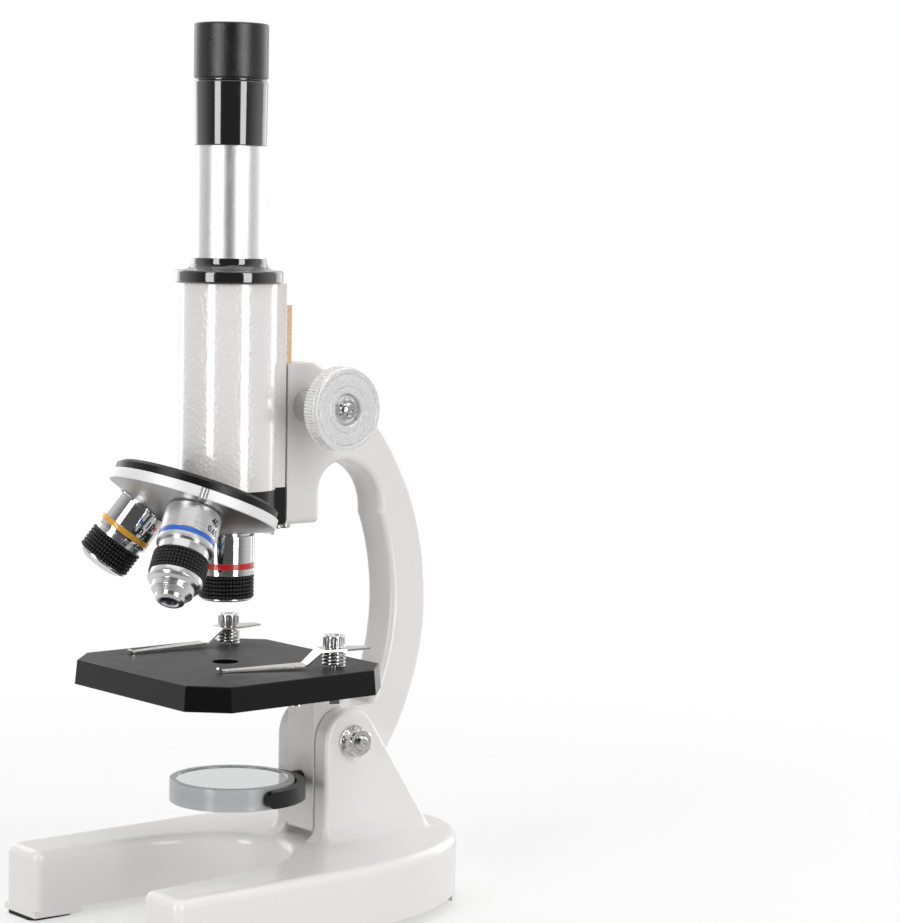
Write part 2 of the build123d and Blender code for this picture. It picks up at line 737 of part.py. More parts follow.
light_hole = 9.0
slab_depth = 3.6
leaf_thickness = 0.5
with BuildPart() as nosepiece_carrier:
    with BuildSketch(level(tube_low)):
        Circle(tube_radius - carrier_skirt)
        with Locations((0, pad_back / 2)):
            Rectangle(2 * pad_half_width - 2 * carrier_skirt, pad_back - carrier_skirt)
    extrude(amount=carrier_slab_low - tube_low)
    with BuildSketch(turret_level(carrier_bottom)):
        Circle(3 * carrier_radius)
    extrude(amount=-3 * carrier_radius, mode=Mode.SUBTRACT)
    with BuildSketch(level(tube_low)):
        with Locations((0, pad_back - leaf_thickness - slab_depth / 2)):
            Rectangle(2 * pad_half_width - 2 * carrier_skirt, slab_depth)
    extrude(amount=carrier_slab_low - tube_low)
    with BuildSketch(turret_section):
        Polygon((0, -carrier_top), (carrier_radius - 2, -carrier_top),
                (carrier_radius, -carrier_top - 1.4), (carrier_radius, -carrier_bottom),
                (0, -carrier_bottom), align=None)
    revolve(axis=turret_axis)
    with BuildSketch(level(tube_low)):
        Circle(light_hole)
    extrude(amount=2 * (carrier_slab_low - tube_low), mode=Mode.SUBTRACT)
    with BuildSketch(turret_level(carrier_top)):
        Circle(turret_pin_radius)
    extrude(amount=-turret_wall - 2, mode=Mode.SUBTRACT)
nosepiece_carrier.part.label = "nosepiece_carrier"
export_step(nosepiece_carrier.part, "parts/nosepiece_carrier.step")

screw_head_radius = 1.3
screw_head_height = 1.4
carrier_screw_side = 6.0
carrier_screw_back = 21.8
leaf_back = 17.6
leaf_end = 160.4
with BuildPart() as click_spring:
    with BuildSketch(side_plane()):
        foot = carrier_slab_low - leaf_thickness
        Polygon((leaf_back, leaf_end), (leaf_back + leaf_thickness, leaf_end),
                (leaf_back + leaf_thickness, foot), (pad_back - leaf_thickness, foot),
                (pad_back - leaf_thickness, carrier_slab_low), (leaf_back, carrier_slab_low),
                align=None)
    extrude(amount=pad_half_width - 2 * carrier_skirt, both=True)
click_spring.part.label = "click_spring"
export_step(click_spring.part, "parts/click_spring.step")

with BuildPart() as click_spring_screws:
    with BuildSketch(level(carrier_slab_low - leaf_thickness, back=carrier_screw_back)):
        with GridLocations(2 * carrier_screw_side, 1, 2, 1):
            Circle(screw_head_radius)
    extrude(amount=-screw_head_height)
    fillet(click_spring_screws.edges().group_by(Axis.Z)[0], screw_head_height / 3)
click_spring_screws.part.label = "click_spring_screws"
export_step(click_spring_screws.part, "parts/click_spring_screws.step")


# ---------------------------------------------------------------- objectives
def objective_frame(turn):
    """Plane through an objective's axis, its origin at the shoulder and its y up the axis."""
    about = Axis((0, 0, 0), turret_up)
    across = Vector(1, 0, 0).rotate(about, turn)
    up = Vector(0, 0, 1).rotate(about, turn)
    return Plane(origin=apex - up * objective_seat, x_dir=across, z_dir=across.cross(up))


for name, (turn, ring, end, grip, nose) in objectives.items():
    frame = objective_frame(turn)
    axis = Axis(frame.origin, frame.y_dir)
    tip_drop, tip_radius = nose[-1]
    sprung = name == "objective_40x"
    fit = objective_neck + (running_gap if sprung else 0)
    pocket = end - neck_engagement - (sprung_travel + skin_gap if sprung else 0)
    barrel = turned([(objective_bore, thread_height), (thread_radius, thread_height),
                     (thread_radius, 0), (objective_radius, 0), (objective_radius, -ring[0]),
                     (objective_radius - ring_depth, -ring[0]),
                     (objective_radius - ring_depth, -ring[1]), (objective_radius, -ring[1]),
                     (objective_radius, -end), (fit, -end), (fit, -pocket),
                     (objective_bore, -pocket)], frame, axis)
    barrel.label = f"{name}_barrel"
    export_step(barrel, f"parts/{name}_barrel.step")

    band = turned([(objective_radius - ring_depth, -ring[0]), (objective_radius, -ring[0]),
                   (objective_radius, -ring[1]), (objective_radius - ring_depth, -ring[1])],
                  frame, axis)
    band.label = f"{name}_ring"
    export_step(band, f"parts/{name}_ring.step")

    sleeve = turned([(objective_neck, -grip[0]), (grip_radius, -grip[0]),
                     (grip_radius, -grip[1]), (objective_neck, -grip[1])], frame, axis)
    sleeve.label = f"{name}_grip"
    export_step(sleeve, f"parts/{name}_grip.step")

    steps = []
    above = grip[1]
    for drop, radius in nose:
        steps += [(radius, -above), (radius, -drop)]
        above = drop
    inside = objective_neck - neck_wall
    lens_radius = min(tip_radius - lens_rim, objective_bore)
    front = turned([(inside, neck_engagement - end), (objective_neck, neck_engagement - end),
                    (objective_neck, -grip[1])] + steps
                   + [(lens_radius, -tip_drop), (lens_radius, -grip[1] + neck_wall),
                      (inside, -grip[1] + neck_wall)], frame, axis)
    front.label = f"{name}_nose"
    export_step(front, f"parts/{name}_nose.step")

    glass = turned([(0, -tip_drop + lens_rim + seam), (lens_radius, -tip_drop + lens_rim + seam),
                    (lens_radius, -tip_drop + seam), (0, -tip_drop + seam)], frame, axis)
    glass.label = f"{name}_lens"
    export_step(glass, f"parts/{name}_lens.step")

# ---------------------------------------------------------------- stage
with BuildPart() as stage:
    with BuildSketch(level(stage_top, back=(stage_front + stage_rear) / 2)) as outline:
        Rectangle(2 * stage_half_width, stage_rear - stage_front)
        chamfer(outline.vertices(), stage_corner)
    extrude(amount=-stage_depth, taper=-stage_draft)
    with BuildSketch(level(stage_top - stage_plate, back=(stage_front + stage_rear) / 2)) as hollow:
        Rectangle(2 * (stage_half_width - stage_rim), stage_rear - stage_front - 2 * stage_rim)
        chamfer(hollow.vertices(), stage_corner - stage_rim / 2)
    extrude(amount=-stage_depth, mode=Mode.SUBTRACT)
    with BuildSketch(level(stage_top)):
        Circle(stage_hole_radius)
        with Locations((0, clip_post_back)):
            with GridLocations(2 * clip_post_side, 1, 2, 1):
                Circle(clip_post_radius)
    extrude(amount=-stage_plate, mode=Mode.SUBTRACT)
    fillet(stage.faces().sort_by(Axis.Z)[-1].outer_wire().edges(), stage_rim / 4)
stage.part.label = "stage"
export_step(stage.part, "parts/stage.step")

with BuildPart() as stage_screws:
    with BuildSketch(level(lug_bottom, back=stage_screw_back)):
        with GridLocations(stage_screw_spread, 1, 2, 1):
            Circle(stage_screw_radius)
    extrude(amount=stage_top - stage_plate - lug_bottom)
    with BuildSketch(level(lug_bottom, back=stage_screw_back)):
        with GridLocations(stage_screw_spread, 1, 2, 1):
            Circle(2 * stage_screw_radius)
    extrude(amount=-screw_head_height)
stage_screws.part.label = "stage_screws"
export_step(stage_screws.part, "parts/stage_screws.step")

# ---------------------------------------------------------------- stage clips
retainer_radius = 3.6
retainer_low = 92.8
with BuildPart() as clip_posts:
    with BuildSketch(level(retainer_low, back=clip_post_back)):
        with GridLocations(2 * clip_post_side, 1, 2, 1):
            Circle(clip_post_radius)
    extrude(amount=stage_top + clip_head_bottom - retainer_low)
    with BuildSketch(level(stage_top + clip_head_bottom, back=clip_post_back)):
        with GridLocations(2 * clip_post_side, 1, 2, 1):
            Circle(clip_head_radius)
    extrude(amount=clip_head_top - clip_head_bottom)
    chamfer(clip_posts.edges().group_by(Axis.Z)[-1], seam)
clip_posts.part.label = "clip_posts"
export_step(clip_posts.part, "parts/clip_posts.step")

with BuildPart() as clip_retainers:
    with BuildSketch(level(retainer_low + seam, back=clip_post_back)):
        with GridLocations(2 * clip_post_side, 1, 2, 1):
            RegularPolygon(retainer_radius, 6, major_radius=False)
            Circle(clip_post_radius, mode=Mode.SUBTRACT)
    extrude(amount=stage_top - stage_plate - retainer_low - seam)
clip_retainers.part.label = "clip_retainers"
export_step(clip_retainers.part, "parts/clip_retainers.step")

for side, turn in clip_turns.items():
    hand = 1 if side == "right" else -1
    post = Location((hand * clip_post_side, tube_y + clip_post_back, stage_top), (0, 0, -hand * turn))
    flat = clip_head_bottom - clip_thickness / 2
    with BuildPart() as clip:
        with BuildSketch(Plane.YZ):
            with BuildLine():
                Polyline((clip_tail_reach, flat), (-clip_head_radius - 1.4, flat),
                         (-clip_head_radius - 8.2, clip_thickness * 2.2),
                         (-clip_tip_reach, clip_thickness * 0.8),
                         (-clip_tip_reach - 1.6, clip_thickness * 2.2))
            trace(line_width=clip_thickness)
        extrude(amount=clip_head_radius + 1, both=True)
        with BuildSketch(Plane.XY):
            with BuildLine():
                Polyline((-2.6, clip_tail_reach), (2.6, clip_tail_reach), (4.9, 4.0), (4.9, -6.5),
                         (3.6, -13.5), (1.7, -clip_tip_reach), (1.2, -clip_tip_reach - 3),
                         (-1.2, -clip_tip_reach - 3), (-1.7, -clip_tip_reach), (-3.6, -13.5),
                         (-4.9, -6.5), (-4.9, 4.0), close=True)
            make_face()
            Circle(clip_hole_radius, mode=Mode.SUBTRACT)
        extrude(amount=2 * clip_head_top, mode=Mode.INTERSECT)
    placed = clip.part.moved(post)
    placed.label = f"stage_clip_{side}"
    export_step(placed, f"parts/stage_clip_{side}.step")

    with BuildPart() as spring:
        rise = clip_head_bottom - clip_thickness - 2 * skin_gap - spring_wire
        with BuildLine():
            coil = Helix(rise / spring_coils, rise, spring_mean_radius)
        with BuildSketch(Plane(origin=coil @ 0, z_dir=coil % 0)):
            Circle(spring_wire / 2)
        sweep(path=coil)
    placed = spring.part.moved(Location((hand * clip_post_side, tube_y + clip_post_back,
                                         stage_top + spring_wire / 2 + skin_gap)))
    placed.label = f"clip_spring_{side}"
    export_step(placed, f"parts/clip_spring_{side}.step")

# ---------------------------------------------------------------- mirror
mirror_web = mirror_depth - 2 * mirror_glass - 2 * seam
with BuildPart() as mirror_ring:
    with BuildSketch(level(mirror_height - mirror_depth / 2, back=mirror_back)):
        Circle(mirror_radius)
    extrude(amount=mirror_depth)
    for height, way in ((mirror_height + mirror_depth / 2, -1), (mirror_height - mirror_depth / 2, 1)):
        with BuildSketch(level(height, back=mirror_back)):
            Circle(mirror_glass_radius)
        extrude(amount=way * (mirror_glass + seam), mode=Mode.SUBTRACT)
    with BuildSketch(level(mirror_height - mirror_depth / 2, back=mirror_back)):
        Circle(mirror_glass_radius - 3)
    extrude(amount=mirror_depth, mode=Mode.SUBTRACT)
    rims = mirror_ring.edges().filter_by(lambda e: e.length > 2 * pi * (mirror_radius - seam))
    fillet(rims, seam)
    with BuildSketch(side_plane()):
        with Locations((mirror_back, mirror_height)):
            Circle(fork_pin_radius + running_gap)
    extrude(amount=2 * mirror_radius, both=True, mode=Mode.SUBTRACT)
mirror_ring.part.label = "mirror_ring"
export_step(mirror_ring.part, "parts/mirror_ring.step")

for name, height in (("plane_mirror", mirror_height + mirror_depth / 2 - seam - mirror_glass),
                     ("concave_mirror", mirror_height - mirror_depth / 2 + seam)):
    with BuildPart() as glass:
        with BuildSketch(level(height, back=mirror_back)):
            Circle(mirror_glass_radius)
        extrude(amount=mirror_glass)
    glass.part.label = name
    export_step(glass.part, f"parts/{name}.step")

with BuildPart() as mirror_fork:
    with BuildSketch(level(mirror_height - fork_depth / 2, back=mirror_back)):
        Circle(fork_outer_radius)
        Circle(fork_inner_radius, mode=Mode.SUBTRACT)
        with Locations((0, -fork_outer_radius / 2 - fork_depth / 2)):
            Rectangle(2 * fork_outer_radius, fork_outer_radius, mode=Mode.SUBTRACT)
    extrude(amount=fork_depth)
    tips = mirror_fork.faces().filter_by(Axis.Y).group_by(Axis.Y)[0]
    fillet(tips.edges().filter_by(Axis.X), fork_depth / 2 - seam / 2)
    for hand in (-1, 1):
        with BuildSketch(side_plane(hand * (fork_inner_radius + seam))):
            with Locations((mirror_back, mirror_height)):
                Circle(fork_pin_radius)
        extrude(amount=-hand * (fork_inner_radius + seam - mirror_glass_radius - seam))
    with BuildSketch(cross_plane(mirror_height, mirror_boss_back - seam)):
        Circle(fork_depth / 2)
    extrude(amount=-(block_front - mirror_boss_back + seam))
mirror_fork.part.label = "mirror_fork"
export_step(mirror_fork.part, "parts/mirror_fork.step")

with BuildPart() as mirror_stem:
    with BuildSketch(cross_plane(mirror_height, block_front)):
        Circle(stem_radius - running_gap)
    extrude(amount=-stem_depth)
mirror_stem.part.label = "mirror_stem"
export_step(mirror_stem.part, "parts/mirror_stem.step")
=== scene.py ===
import json
import math

import bmesh
import bpy
from mathutils import Matrix, Vector


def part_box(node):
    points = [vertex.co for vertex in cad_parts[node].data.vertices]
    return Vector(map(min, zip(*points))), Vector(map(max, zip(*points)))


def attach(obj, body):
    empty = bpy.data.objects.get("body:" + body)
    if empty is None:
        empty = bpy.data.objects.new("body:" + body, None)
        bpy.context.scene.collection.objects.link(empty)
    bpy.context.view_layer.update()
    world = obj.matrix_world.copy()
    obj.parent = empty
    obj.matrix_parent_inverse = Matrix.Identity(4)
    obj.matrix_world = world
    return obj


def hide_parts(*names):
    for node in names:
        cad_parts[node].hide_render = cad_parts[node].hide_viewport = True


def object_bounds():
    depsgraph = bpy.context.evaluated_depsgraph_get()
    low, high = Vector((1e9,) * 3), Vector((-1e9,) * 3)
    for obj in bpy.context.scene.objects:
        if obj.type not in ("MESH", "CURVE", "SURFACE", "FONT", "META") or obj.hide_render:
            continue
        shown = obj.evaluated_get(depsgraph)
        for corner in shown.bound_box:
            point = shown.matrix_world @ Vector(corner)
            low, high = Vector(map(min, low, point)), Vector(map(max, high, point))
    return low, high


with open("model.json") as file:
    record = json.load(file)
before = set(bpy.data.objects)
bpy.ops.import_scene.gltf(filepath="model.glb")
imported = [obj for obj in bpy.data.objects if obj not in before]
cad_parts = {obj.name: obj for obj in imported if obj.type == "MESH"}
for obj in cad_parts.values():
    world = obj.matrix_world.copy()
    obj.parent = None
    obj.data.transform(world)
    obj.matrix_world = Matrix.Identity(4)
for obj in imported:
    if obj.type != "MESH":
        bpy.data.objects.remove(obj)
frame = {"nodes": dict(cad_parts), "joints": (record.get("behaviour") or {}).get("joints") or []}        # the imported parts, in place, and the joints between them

bl_info = {
    "name": "Student Microscope",
    "version": (1, 0, 0),
    "blender": (4, 5, 0),
    "location": "View3D > Sidebar > Microscope",
    "description": "Finished surfaces and turned details of a student microscope",
    "category": "Object",
}

MM = 0.001
CAD_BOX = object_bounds()
JOINTS = {joint["name"]: joint for joint in frame["joints"]}


# ---------------------------------------------------------------- sizes and colours
def length(name, description, default):
    """A size in millimetres."""
    return bpy.props.FloatProperty(name=name, description=description, default=default,
                                   min=0.0, precision=2)


def colour(name, description, default):
    """A linear colour."""
    return bpy.props.FloatVectorProperty(name=name, description=description, default=default,
                                         subtype="COLOR", size=3, min=0.0, max=1.0)


class FinishColours(bpy.types.PropertyGroup):
    enamel: colour("Enamel", "White enamel of the castings and the body tube", (0.86, 0.838, 0.825))
    black: colour("Black", "Black enamel of the collar, eyepiece, carrier and stage",
                  (0.0045, 0.0045, 0.005))
    cup: colour("Eyecup", "Moulded eyecup", (0.006, 0.006, 0.0065))
    aluminium: colour("Aluminium", "Satin and turned aluminium", (0.80, 0.80, 0.80))
    chrome: colour("Chrome", "Polished plating", (0.74, 0.74, 0.74))
    zinc: colour("Zinc", "Plated nuts, bolts and clips", (0.62, 0.61, 0.59))
    copper: colour("Rack", "Drawn metal of the focus rack", (0.95, 0.66, 0.42))
    milky: colour("Mirror ring", "Milky moulding round the mirror", (0.62, 0.63, 0.64))
    rubber: colour("Feet", "Foot pads", (0.015, 0.015, 0.015))
    red: colour("Red ring", "Colour ring of the 4x objective", (0.62, 0.015, 0.012))
    yellow: colour("Yellow ring", "Colour ring of the 10x objective", (0.85, 0.42, 0.03))
    blue: colour("Blue ring", "Colour ring of the 40x objective", (0.02, 0.12, 0.55))


class OpticsSizes(bpy.types.PropertyGroup):
    rim: length("Rim", "Corner rounding of the black tube parts in mm", 0.5)
    flare: length("Flare", "Hollow rounding under the collar's neck in mm", 3.4)
    seam: length("Seam", "Groove between the eyepiece and its cup in mm", 0.35)


class KnobSizes(bpy.types.PropertyGroup):
    flutes: bpy.props.IntProperty(name="Flutes", description="Grip flutes round a focus knob",
                                  default=80, min=12)
    flute_depth: length("Flute depth", "Depth of a grip flute in mm", 0.8)
    ring: length("Ring radius", "Radius of the line round the knob's face in mm", 14.7)
    hub: length("Hub radius", "Radius of the line round the knob's hub in mm", 9.5)


class NosepieceSizes(bpy.types.PropertyGroup):
    knurl: length("Knurl", "Spacing of the studs on an objective's grip in mm", 1.5)
    knurl_depth: length("Knurl depth", "Height of a stud in mm", 0.75)
    numeral: length("Numeral", "Height of the engraved magnification in mm", 4.3)
    notch: length("Notch", "Radius of a click notch in the turret's rim in mm", 1.6)


class StageSizes(bpy.types.PropertyGroup):
    flutes: bpy.props.IntProperty(name="Flutes", description="Flutes round a clip head",
                                  default=18, min=6)
    flute_depth: length("Flute depth", "Depth of a clip head's flute in mm", 0.35)


class StudioSizes(bpy.types.PropertyGroup):
    lens: bpy.props.FloatProperty(name="Lens", description="Focal length", default=107.47,
                                  subtype="DISTANCE_CAMERA")
    camera: bpy.props.FloatVectorProperty(name="Camera", description="Where the camera stands",
                                          default=(0.91735, -0.68345, 0.2937),
                                          subtype="TRANSLATION", unit="LENGTH")
    heading: bpy.props.FloatProperty(name="Heading", description="Camera turn about the vertical",
                                     default=math.radians(49.61), subtype="ANGLE")
    dip: bpy.props.FloatProperty(name="Dip", description="How far the camera looks down",
                                 default=math.radians(5.133), subtype="ANGLE")
    roll: bpy.props.FloatProperty(name="Roll", description="Camera turn about its own line of sight",
                                  default=math.radians(0.987), subtype="ANGLE")
    floor: colour("Floor", "Pale studio floor", (0.93, 0.93, 0.93))


def sizes(name):
    """The property group of that name."""
    return getattr(bpy.context.scene, name)


# ---------------------------------------------------------------- shader nodes
def node(tree, kind, values=None, **settings):
    """Adds a node. values are numbers, colours or the sockets of other nodes."""
    made = tree.nodes.new(kind)
    for label, value in settings.items():
        setattr(made, label, value)
    for socket, value in (values or {}).items():
        if isinstance(value, bpy.types.NodeSocket):
            tree.links.new(value, made.inputs[socket])
        else:
            made.inputs[socket].default_value = value
    return made


def calc(tree, operation, *values):
    """The result of a Math node."""
    return node(tree, "ShaderNodeMath", dict(enumerate(values)), operation=operation).outputs[0]


def spread(tree, value, low, high, to_low=0.0, to_high=1.0):
    """value from low to high, spread smoothly from to_low to to_high."""
    made = node(tree, "ShaderNodeMapRange",
                {"Value": value, "From Min": low, "From Max": high, "To Min": to_low,
                 "To Max": to_high}, interpolation_type="SMOOTHSTEP")
    return made.outputs["Result"]


def blend_colours(tree, factor, first, second):
    """Two colours mixed by a mask."""
    made = node(tree, "ShaderNodeMix", {0: factor, 6: first, 7: second}, data_type="RGBA")
    return made.outputs[2]


def effect(name, inputs, outputs):
    """An empty node group with a Vector input, number inputs and number outputs."""
    tree = bpy.data.node_groups.new(name, "ShaderNodeTree")
    tree.interface.new_socket(name="Vector", in_out="INPUT", socket_type="NodeSocketVector")
    for label, default in inputs.items():
        socket = tree.interface.new_socket(name=label, in_out="INPUT",
                                           socket_type="NodeSocketFloat")
        socket.default_value = default
    for label in outputs:
        tree.interface.new_socket(name=label, in_out="OUTPUT", socket_type="NodeSocketFloat")
    return tree, tree.nodes.new("NodeGroupInput").outputs, tree.nodes.new("NodeGroupOutput").inputs


def noise(tree, vector, size, detail=2.0, roughness=0.5, stretch=(1, 1, 1)):
    """Noise whose lumps are size metres across."""
    where = node(tree, "ShaderNodeMapping", {"Vector": vector, "Scale": stretch})
    scale = calc(tree, "DIVIDE", 1.0, size)
    made = node(tree, "ShaderNodeTexNoise", {"Vector": where.outputs[0], "Scale": scale,
                                             "Detail": detail, "Roughness": roughness})
    return made.outputs["Fac"]


def orange_peel_group():
    """The gentle ripple of sprayed enamel, with a few dust nibs under it."""
    tree, given, out = effect("Orange Peel", {"Ripple": 0.0026, "Fine": 0.0009, "Nibs": 0.3},
                              ("Height", "Tone"))
    wide = noise(tree, given["Vector"], given["Ripple"], 1.0, 0.4)
    fine = noise(tree, given["Vector"], given["Fine"], 1.0, 0.5)
    speck = noise(tree, given["Vector"], 0.0016, 0.0)
    nib = calc(tree, "MULTIPLY", spread(tree, speck, 0.74, 0.86), given["Nibs"])
    ripple = calc(tree, "MULTIPLY_ADD", fine, 0.22, wide)
    tree.links.new(calc(tree, "ADD", ripple, nib), out["Height"])
    tree.links.new(noise(tree, given["Vector"], 0.035, 3.0), out["Tone"])


def fine_grain_group():
    """Blasted or moulded grain, as a height and as light and dark grains."""
    tree, given, out = effect("Fine Grain", {"Grain": 0.0004}, ("Height", "Value"))
    grain = noise(tree, given["Vector"], given["Grain"], 2.0, 0.6)
    tree.links.new(grain, out["Height"])
    tree.links.new(spread(tree, grain, 0.32, 0.68), out["Value"])


def turning_marks_group():
    """Fine rings left by a lathe round the piece's own axis."""
    tree, given, out = effect("Turning Marks", {"Spacing": 0.0002, "Waver": 0.15},
                              ("Height", "Value"))
    parts = node(tree, "ShaderNodeSeparateXYZ", {"Vector": given["Vector"]}).outputs
    flat = node(tree, "ShaderNodeCombineXYZ", {"X": parts["X"], "Y": parts["Y"]}).outputs[0]
    reach = node(tree, "ShaderNodeVectorMath", {0: flat}, operation="LENGTH").outputs["Value"]
    drift = noise(tree, given["Vector"], 0.004, 1.0)
    waver = calc(tree, "MULTIPLY", calc(tree, "MULTIPLY", drift, given["Waver"]), given["Spacing"])
    rings = node(tree, "ShaderNodeCombineXYZ", {
        "X": calc(tree, "ADD", reach, waver),
        "Y": calc(tree, "ADD", parts["Z"], waver)}).outputs[0]
    lines = noise(tree, rings, given["Spacing"], 2.0, 0.7)
    tree.links.new(lines, out["Height"])
    tree.links.new(spread(tree, lines, 0.3, 0.7), out["Value"])


def handling_marks_group():
    """Broad smudges and a little settled dust."""
    tree, given, out = effect("Handling Marks", {"Patch": 0.012}, ("Smudge", "Dust"))
    patch = noise(tree, given["Vector"], given["Patch"], 4.0, 0.6)
    tree.links.new(spread(tree, patch, 0.42, 0.75), out["Smudge"])
    motes = noise(tree, given["Vector"], 0.0005, 1.0)
    tree.links.new(calc(tree, "MULTIPLY", spread(tree, motes, 0.70, 0.80),
                        spread(tree, patch, 0.35, 0.6)), out["Dust"])


def edge_wear_and_highlight_group():
    """Lighter outer corners, broken up by noise: wear from hands and cloths, and a painted edge
    highlight.
    """
    tree, given, out = effect("Edge Wear", {"Reach": 0.06, "Break": 0.0012}, ("Mask",))
    # pointiness picks the outer corners that get the painted edge highlight and the wear
    corner = node(tree, "ShaderNodeNewGeometry").outputs["Pointiness"]
    rise = calc(tree, "DIVIDE", calc(tree, "SUBTRACT", corner, 0.53), given["Reach"])
    chips = noise(tree, given["Vector"], given["Break"], 3.0, 0.65)
    tree.links.new(spread(tree, calc(tree, "MULTIPLY", rise, calc(tree, "ADD", chips, 0.35)),
                          0.35, 1.0), out["Mask"])


EFFECTS = {"Orange Peel": orange_peel_group, "Fine Grain": fine_grain_group,
           "Turning Marks": turning_marks_group, "Handling Marks": handling_marks_group,
           "Edge Wear": edge_wear_and_highlight_group}


class Coat:
    """A material under construction: a Principled shader and what feeds it."""

    def __init__(self, name, **constants):
        self.material = bpy.data.materials.new(name)
        self.material.use_nodes = True
        self.tree = self.material.node_tree
        self.shader = self.tree.nodes["Principled BSDF"]
        self.place = node(self.tree, "ShaderNodeTexCoord").outputs["Object"]
        for label, value in constants.items():
            self.shader.inputs[label.replace("_", " ")].default_value = value

    def effect(self, name, **inputs):
        """Places one of the shared effects and gives its outputs."""
        if name not in bpy.data.node_groups:
            EFFECTS[name]()
        made = node(self.tree, "ShaderNodeGroup", node_tree=bpy.data.node_groups[name])
        self.tree.links.new(self.place, made.inputs["Vector"])
        for label, value in inputs.items():
            made.inputs[label].default_value = value
        return made.outputs

    def feed(self, label, socket):
        """Links a socket to the shader."""
        self.tree.links.new(socket, self.shader.inputs[label])

    def bump(self, height, depth):
        """Raises the surface by a height, depth metres at most."""
        made = node(self.tree, "ShaderNodeBump", {"Height": height, "Distance": depth})
        self.feed("Normal", made.outputs[0])

    def tint(self, mask, first, second):
        """Base colour that runs between two colours."""
        self.feed("Base Color", blend_colours(self.tree, mask, rgba(first), rgba(second)))

    def roughen(self, mask, low, high):
        """Roughness that runs between two values."""
        self.feed("Roughness", spread(self.tree, mask, 0.0, 1.0, low, high))


def rgba(shade, gain=1.0):
    """A colour with full alpha, made lighter or darker by gain."""
    return (*(min(1.0, part * gain) for part in shade), 1.0)


def scaled(shade, gain):
    """A colour made lighter or darker."""
    return tuple(min(1.0, part * gain) for part in shade)


# ---------------------------------------------------------------- finishes
def white_enamel(shades):
    coat = Coat("white_enamel", Coat_Weight=0.35, Coat_Roughness=0.06)
    peel = coat.effect("Orange Peel")
    worn = coat.effect("Handling Marks", Patch=0.05)
    coat.tint(peel["Tone"], scaled(shades.enamel, 0.985), scaled(shades.enamel, 1.015))
    coat.roughen(worn["Smudge"], 0.20, 0.26)
    coat.bump(peel["Height"], 0.00008)
    return coat.material


def tube_enamel(shades):
    coat = Coat("tube_enamel", Coat_Weight=1.0, Coat_Roughness=0.02, Coat_IOR=1.7)
    peel = coat.effect("Orange Peel", Ripple=0.0014, Fine=0.0008, Nibs=0.0)
    coat.tint(peel["Tone"], scaled(shades.enamel, 0.98), scaled(shades.enamel, 1.02))
    coat.roughen(peel["Tone"], 0.10, 0.16)
    coat.bump(peel["Height"], 0.00034)
    return coat.material


def gloss_black(name, shade, smooth, rough, peel_depth, worn_and_lit_edges):
    coat = Coat(name, Coat_Weight=1.0, Coat_Roughness=0.03, Coat_IOR=1.8)
    peel = coat.effect("Orange Peel", Ripple=0.004, Fine=0.0008, Nibs=0.1)
    worn = coat.effect("Handling Marks", Patch=0.010)
    tone = blend_colours(coat.tree, worn["Dust"], rgba(shade), (0.03, 0.03, 0.03, 1.0))
    # outer corners lighter grey: wear and a painted edge highlight
    if worn_and_lit_edges:
        edge = coat.effect("Edge Wear")
        tone = blend_colours(coat.tree, edge["Mask"], tone, (0.03, 0.03, 0.03, 1.0))
    coat.feed("Base Color", tone)
    coat.roughen(worn["Smudge"], smooth, rough)
    coat.bump(peel["Height"], peel_depth)
    return coat.material


def black_enamel(shades):
    return gloss_black("black_enamel", shades.black, 0.08, 0.16, 0.00003, False)


def black_plastic(shades):
    return gloss_black("black_plastic", scaled(shades.black, 1.2), 0.10, 0.18, 0.00002, True)


def black_oxide(shades):
    coat = Coat("black_oxide", Specular_IOR_Level=0.35)
    grain = coat.effect("Fine Grain", Grain=0.0005)
    worn = coat.effect("Handling Marks", Patch=0.012)
    coat.tint(worn["Dust"], shades.black, scaled(shades.black, 5))
    coat.roughen(worn["Smudge"], 0.30, 0.40)
    coat.bump(grain["Height"], 0.00003)
    return coat.material


def stage_enamel(shades):
    coat = Coat("stage_enamel", Specular_IOR_Level=0.35, Coat_Roughness=0.05)
    grain = coat.effect("Fine Grain", Grain=0.00045)
    worn = coat.effect("Handling Marks", Patch=0.016)
    facing = node(coat.tree, "ShaderNodeTexCoord").outputs["Normal"]
    level = node(coat.tree, "ShaderNodeSeparateXYZ", {"Vector": facing}).outputs["Z"]
    top = spread(coat.tree, level, 0.9, 0.98)
    satin = blend_colours(coat.tree, grain["Value"], rgba(shades.black, 2.0), rgba(shades.black, 5.0))
    satin = blend_colours(coat.tree, worn["Dust"], satin, (0.06, 0.06, 0.06, 1.0))
    coat.feed("Base Color", blend_colours(coat.tree, top, rgba(shades.black), satin))
    rough = calc(coat.tree, "MULTIPLY_ADD", worn["Smudge"], 0.06, 0.12)
    coat.feed("Roughness", calc(coat.tree, "MULTIPLY_ADD", top, 0.30, rough))
    coat.bump(calc(coat.tree, "MULTIPLY", grain["Height"], top), 0.00012)
    return coat.material


def matte_black_plastic(shades):
    coat = Coat("matte_black_plastic", Specular_IOR_Level=0.75)
    grain = coat.effect("Fine Grain", Grain=0.00036)
    worn = coat.effect("Handling Marks", Patch=0.014)
    coat.tint(grain["Value"], scaled(shades.cup, 0.8), scaled(shades.cup, 1.35))
    coat.roughen(worn["Smudge"], 0.25, 0.31)
    coat.bump(grain["Height"], 0.00008)
    return coat.material


def knurl_plastic(shades):
    coat = Coat("knurl_plastic", Specular_IOR_Level=0.5)
    grain = coat.effect("Fine Grain", Grain=0.0003)
    edge = coat.effect("Edge Wear", Reach=0.12, Break=0.0008)
    # stud corners lighter: wear and a painted edge highlight
    coat.tint(edge["Mask"], shades.black, scaled(shades.cup, 1.8))
    coat.roughen(grain["Value"], 0.34, 0.48)
    coat.bump(grain["Height"], 0.00003)
    return coat.material


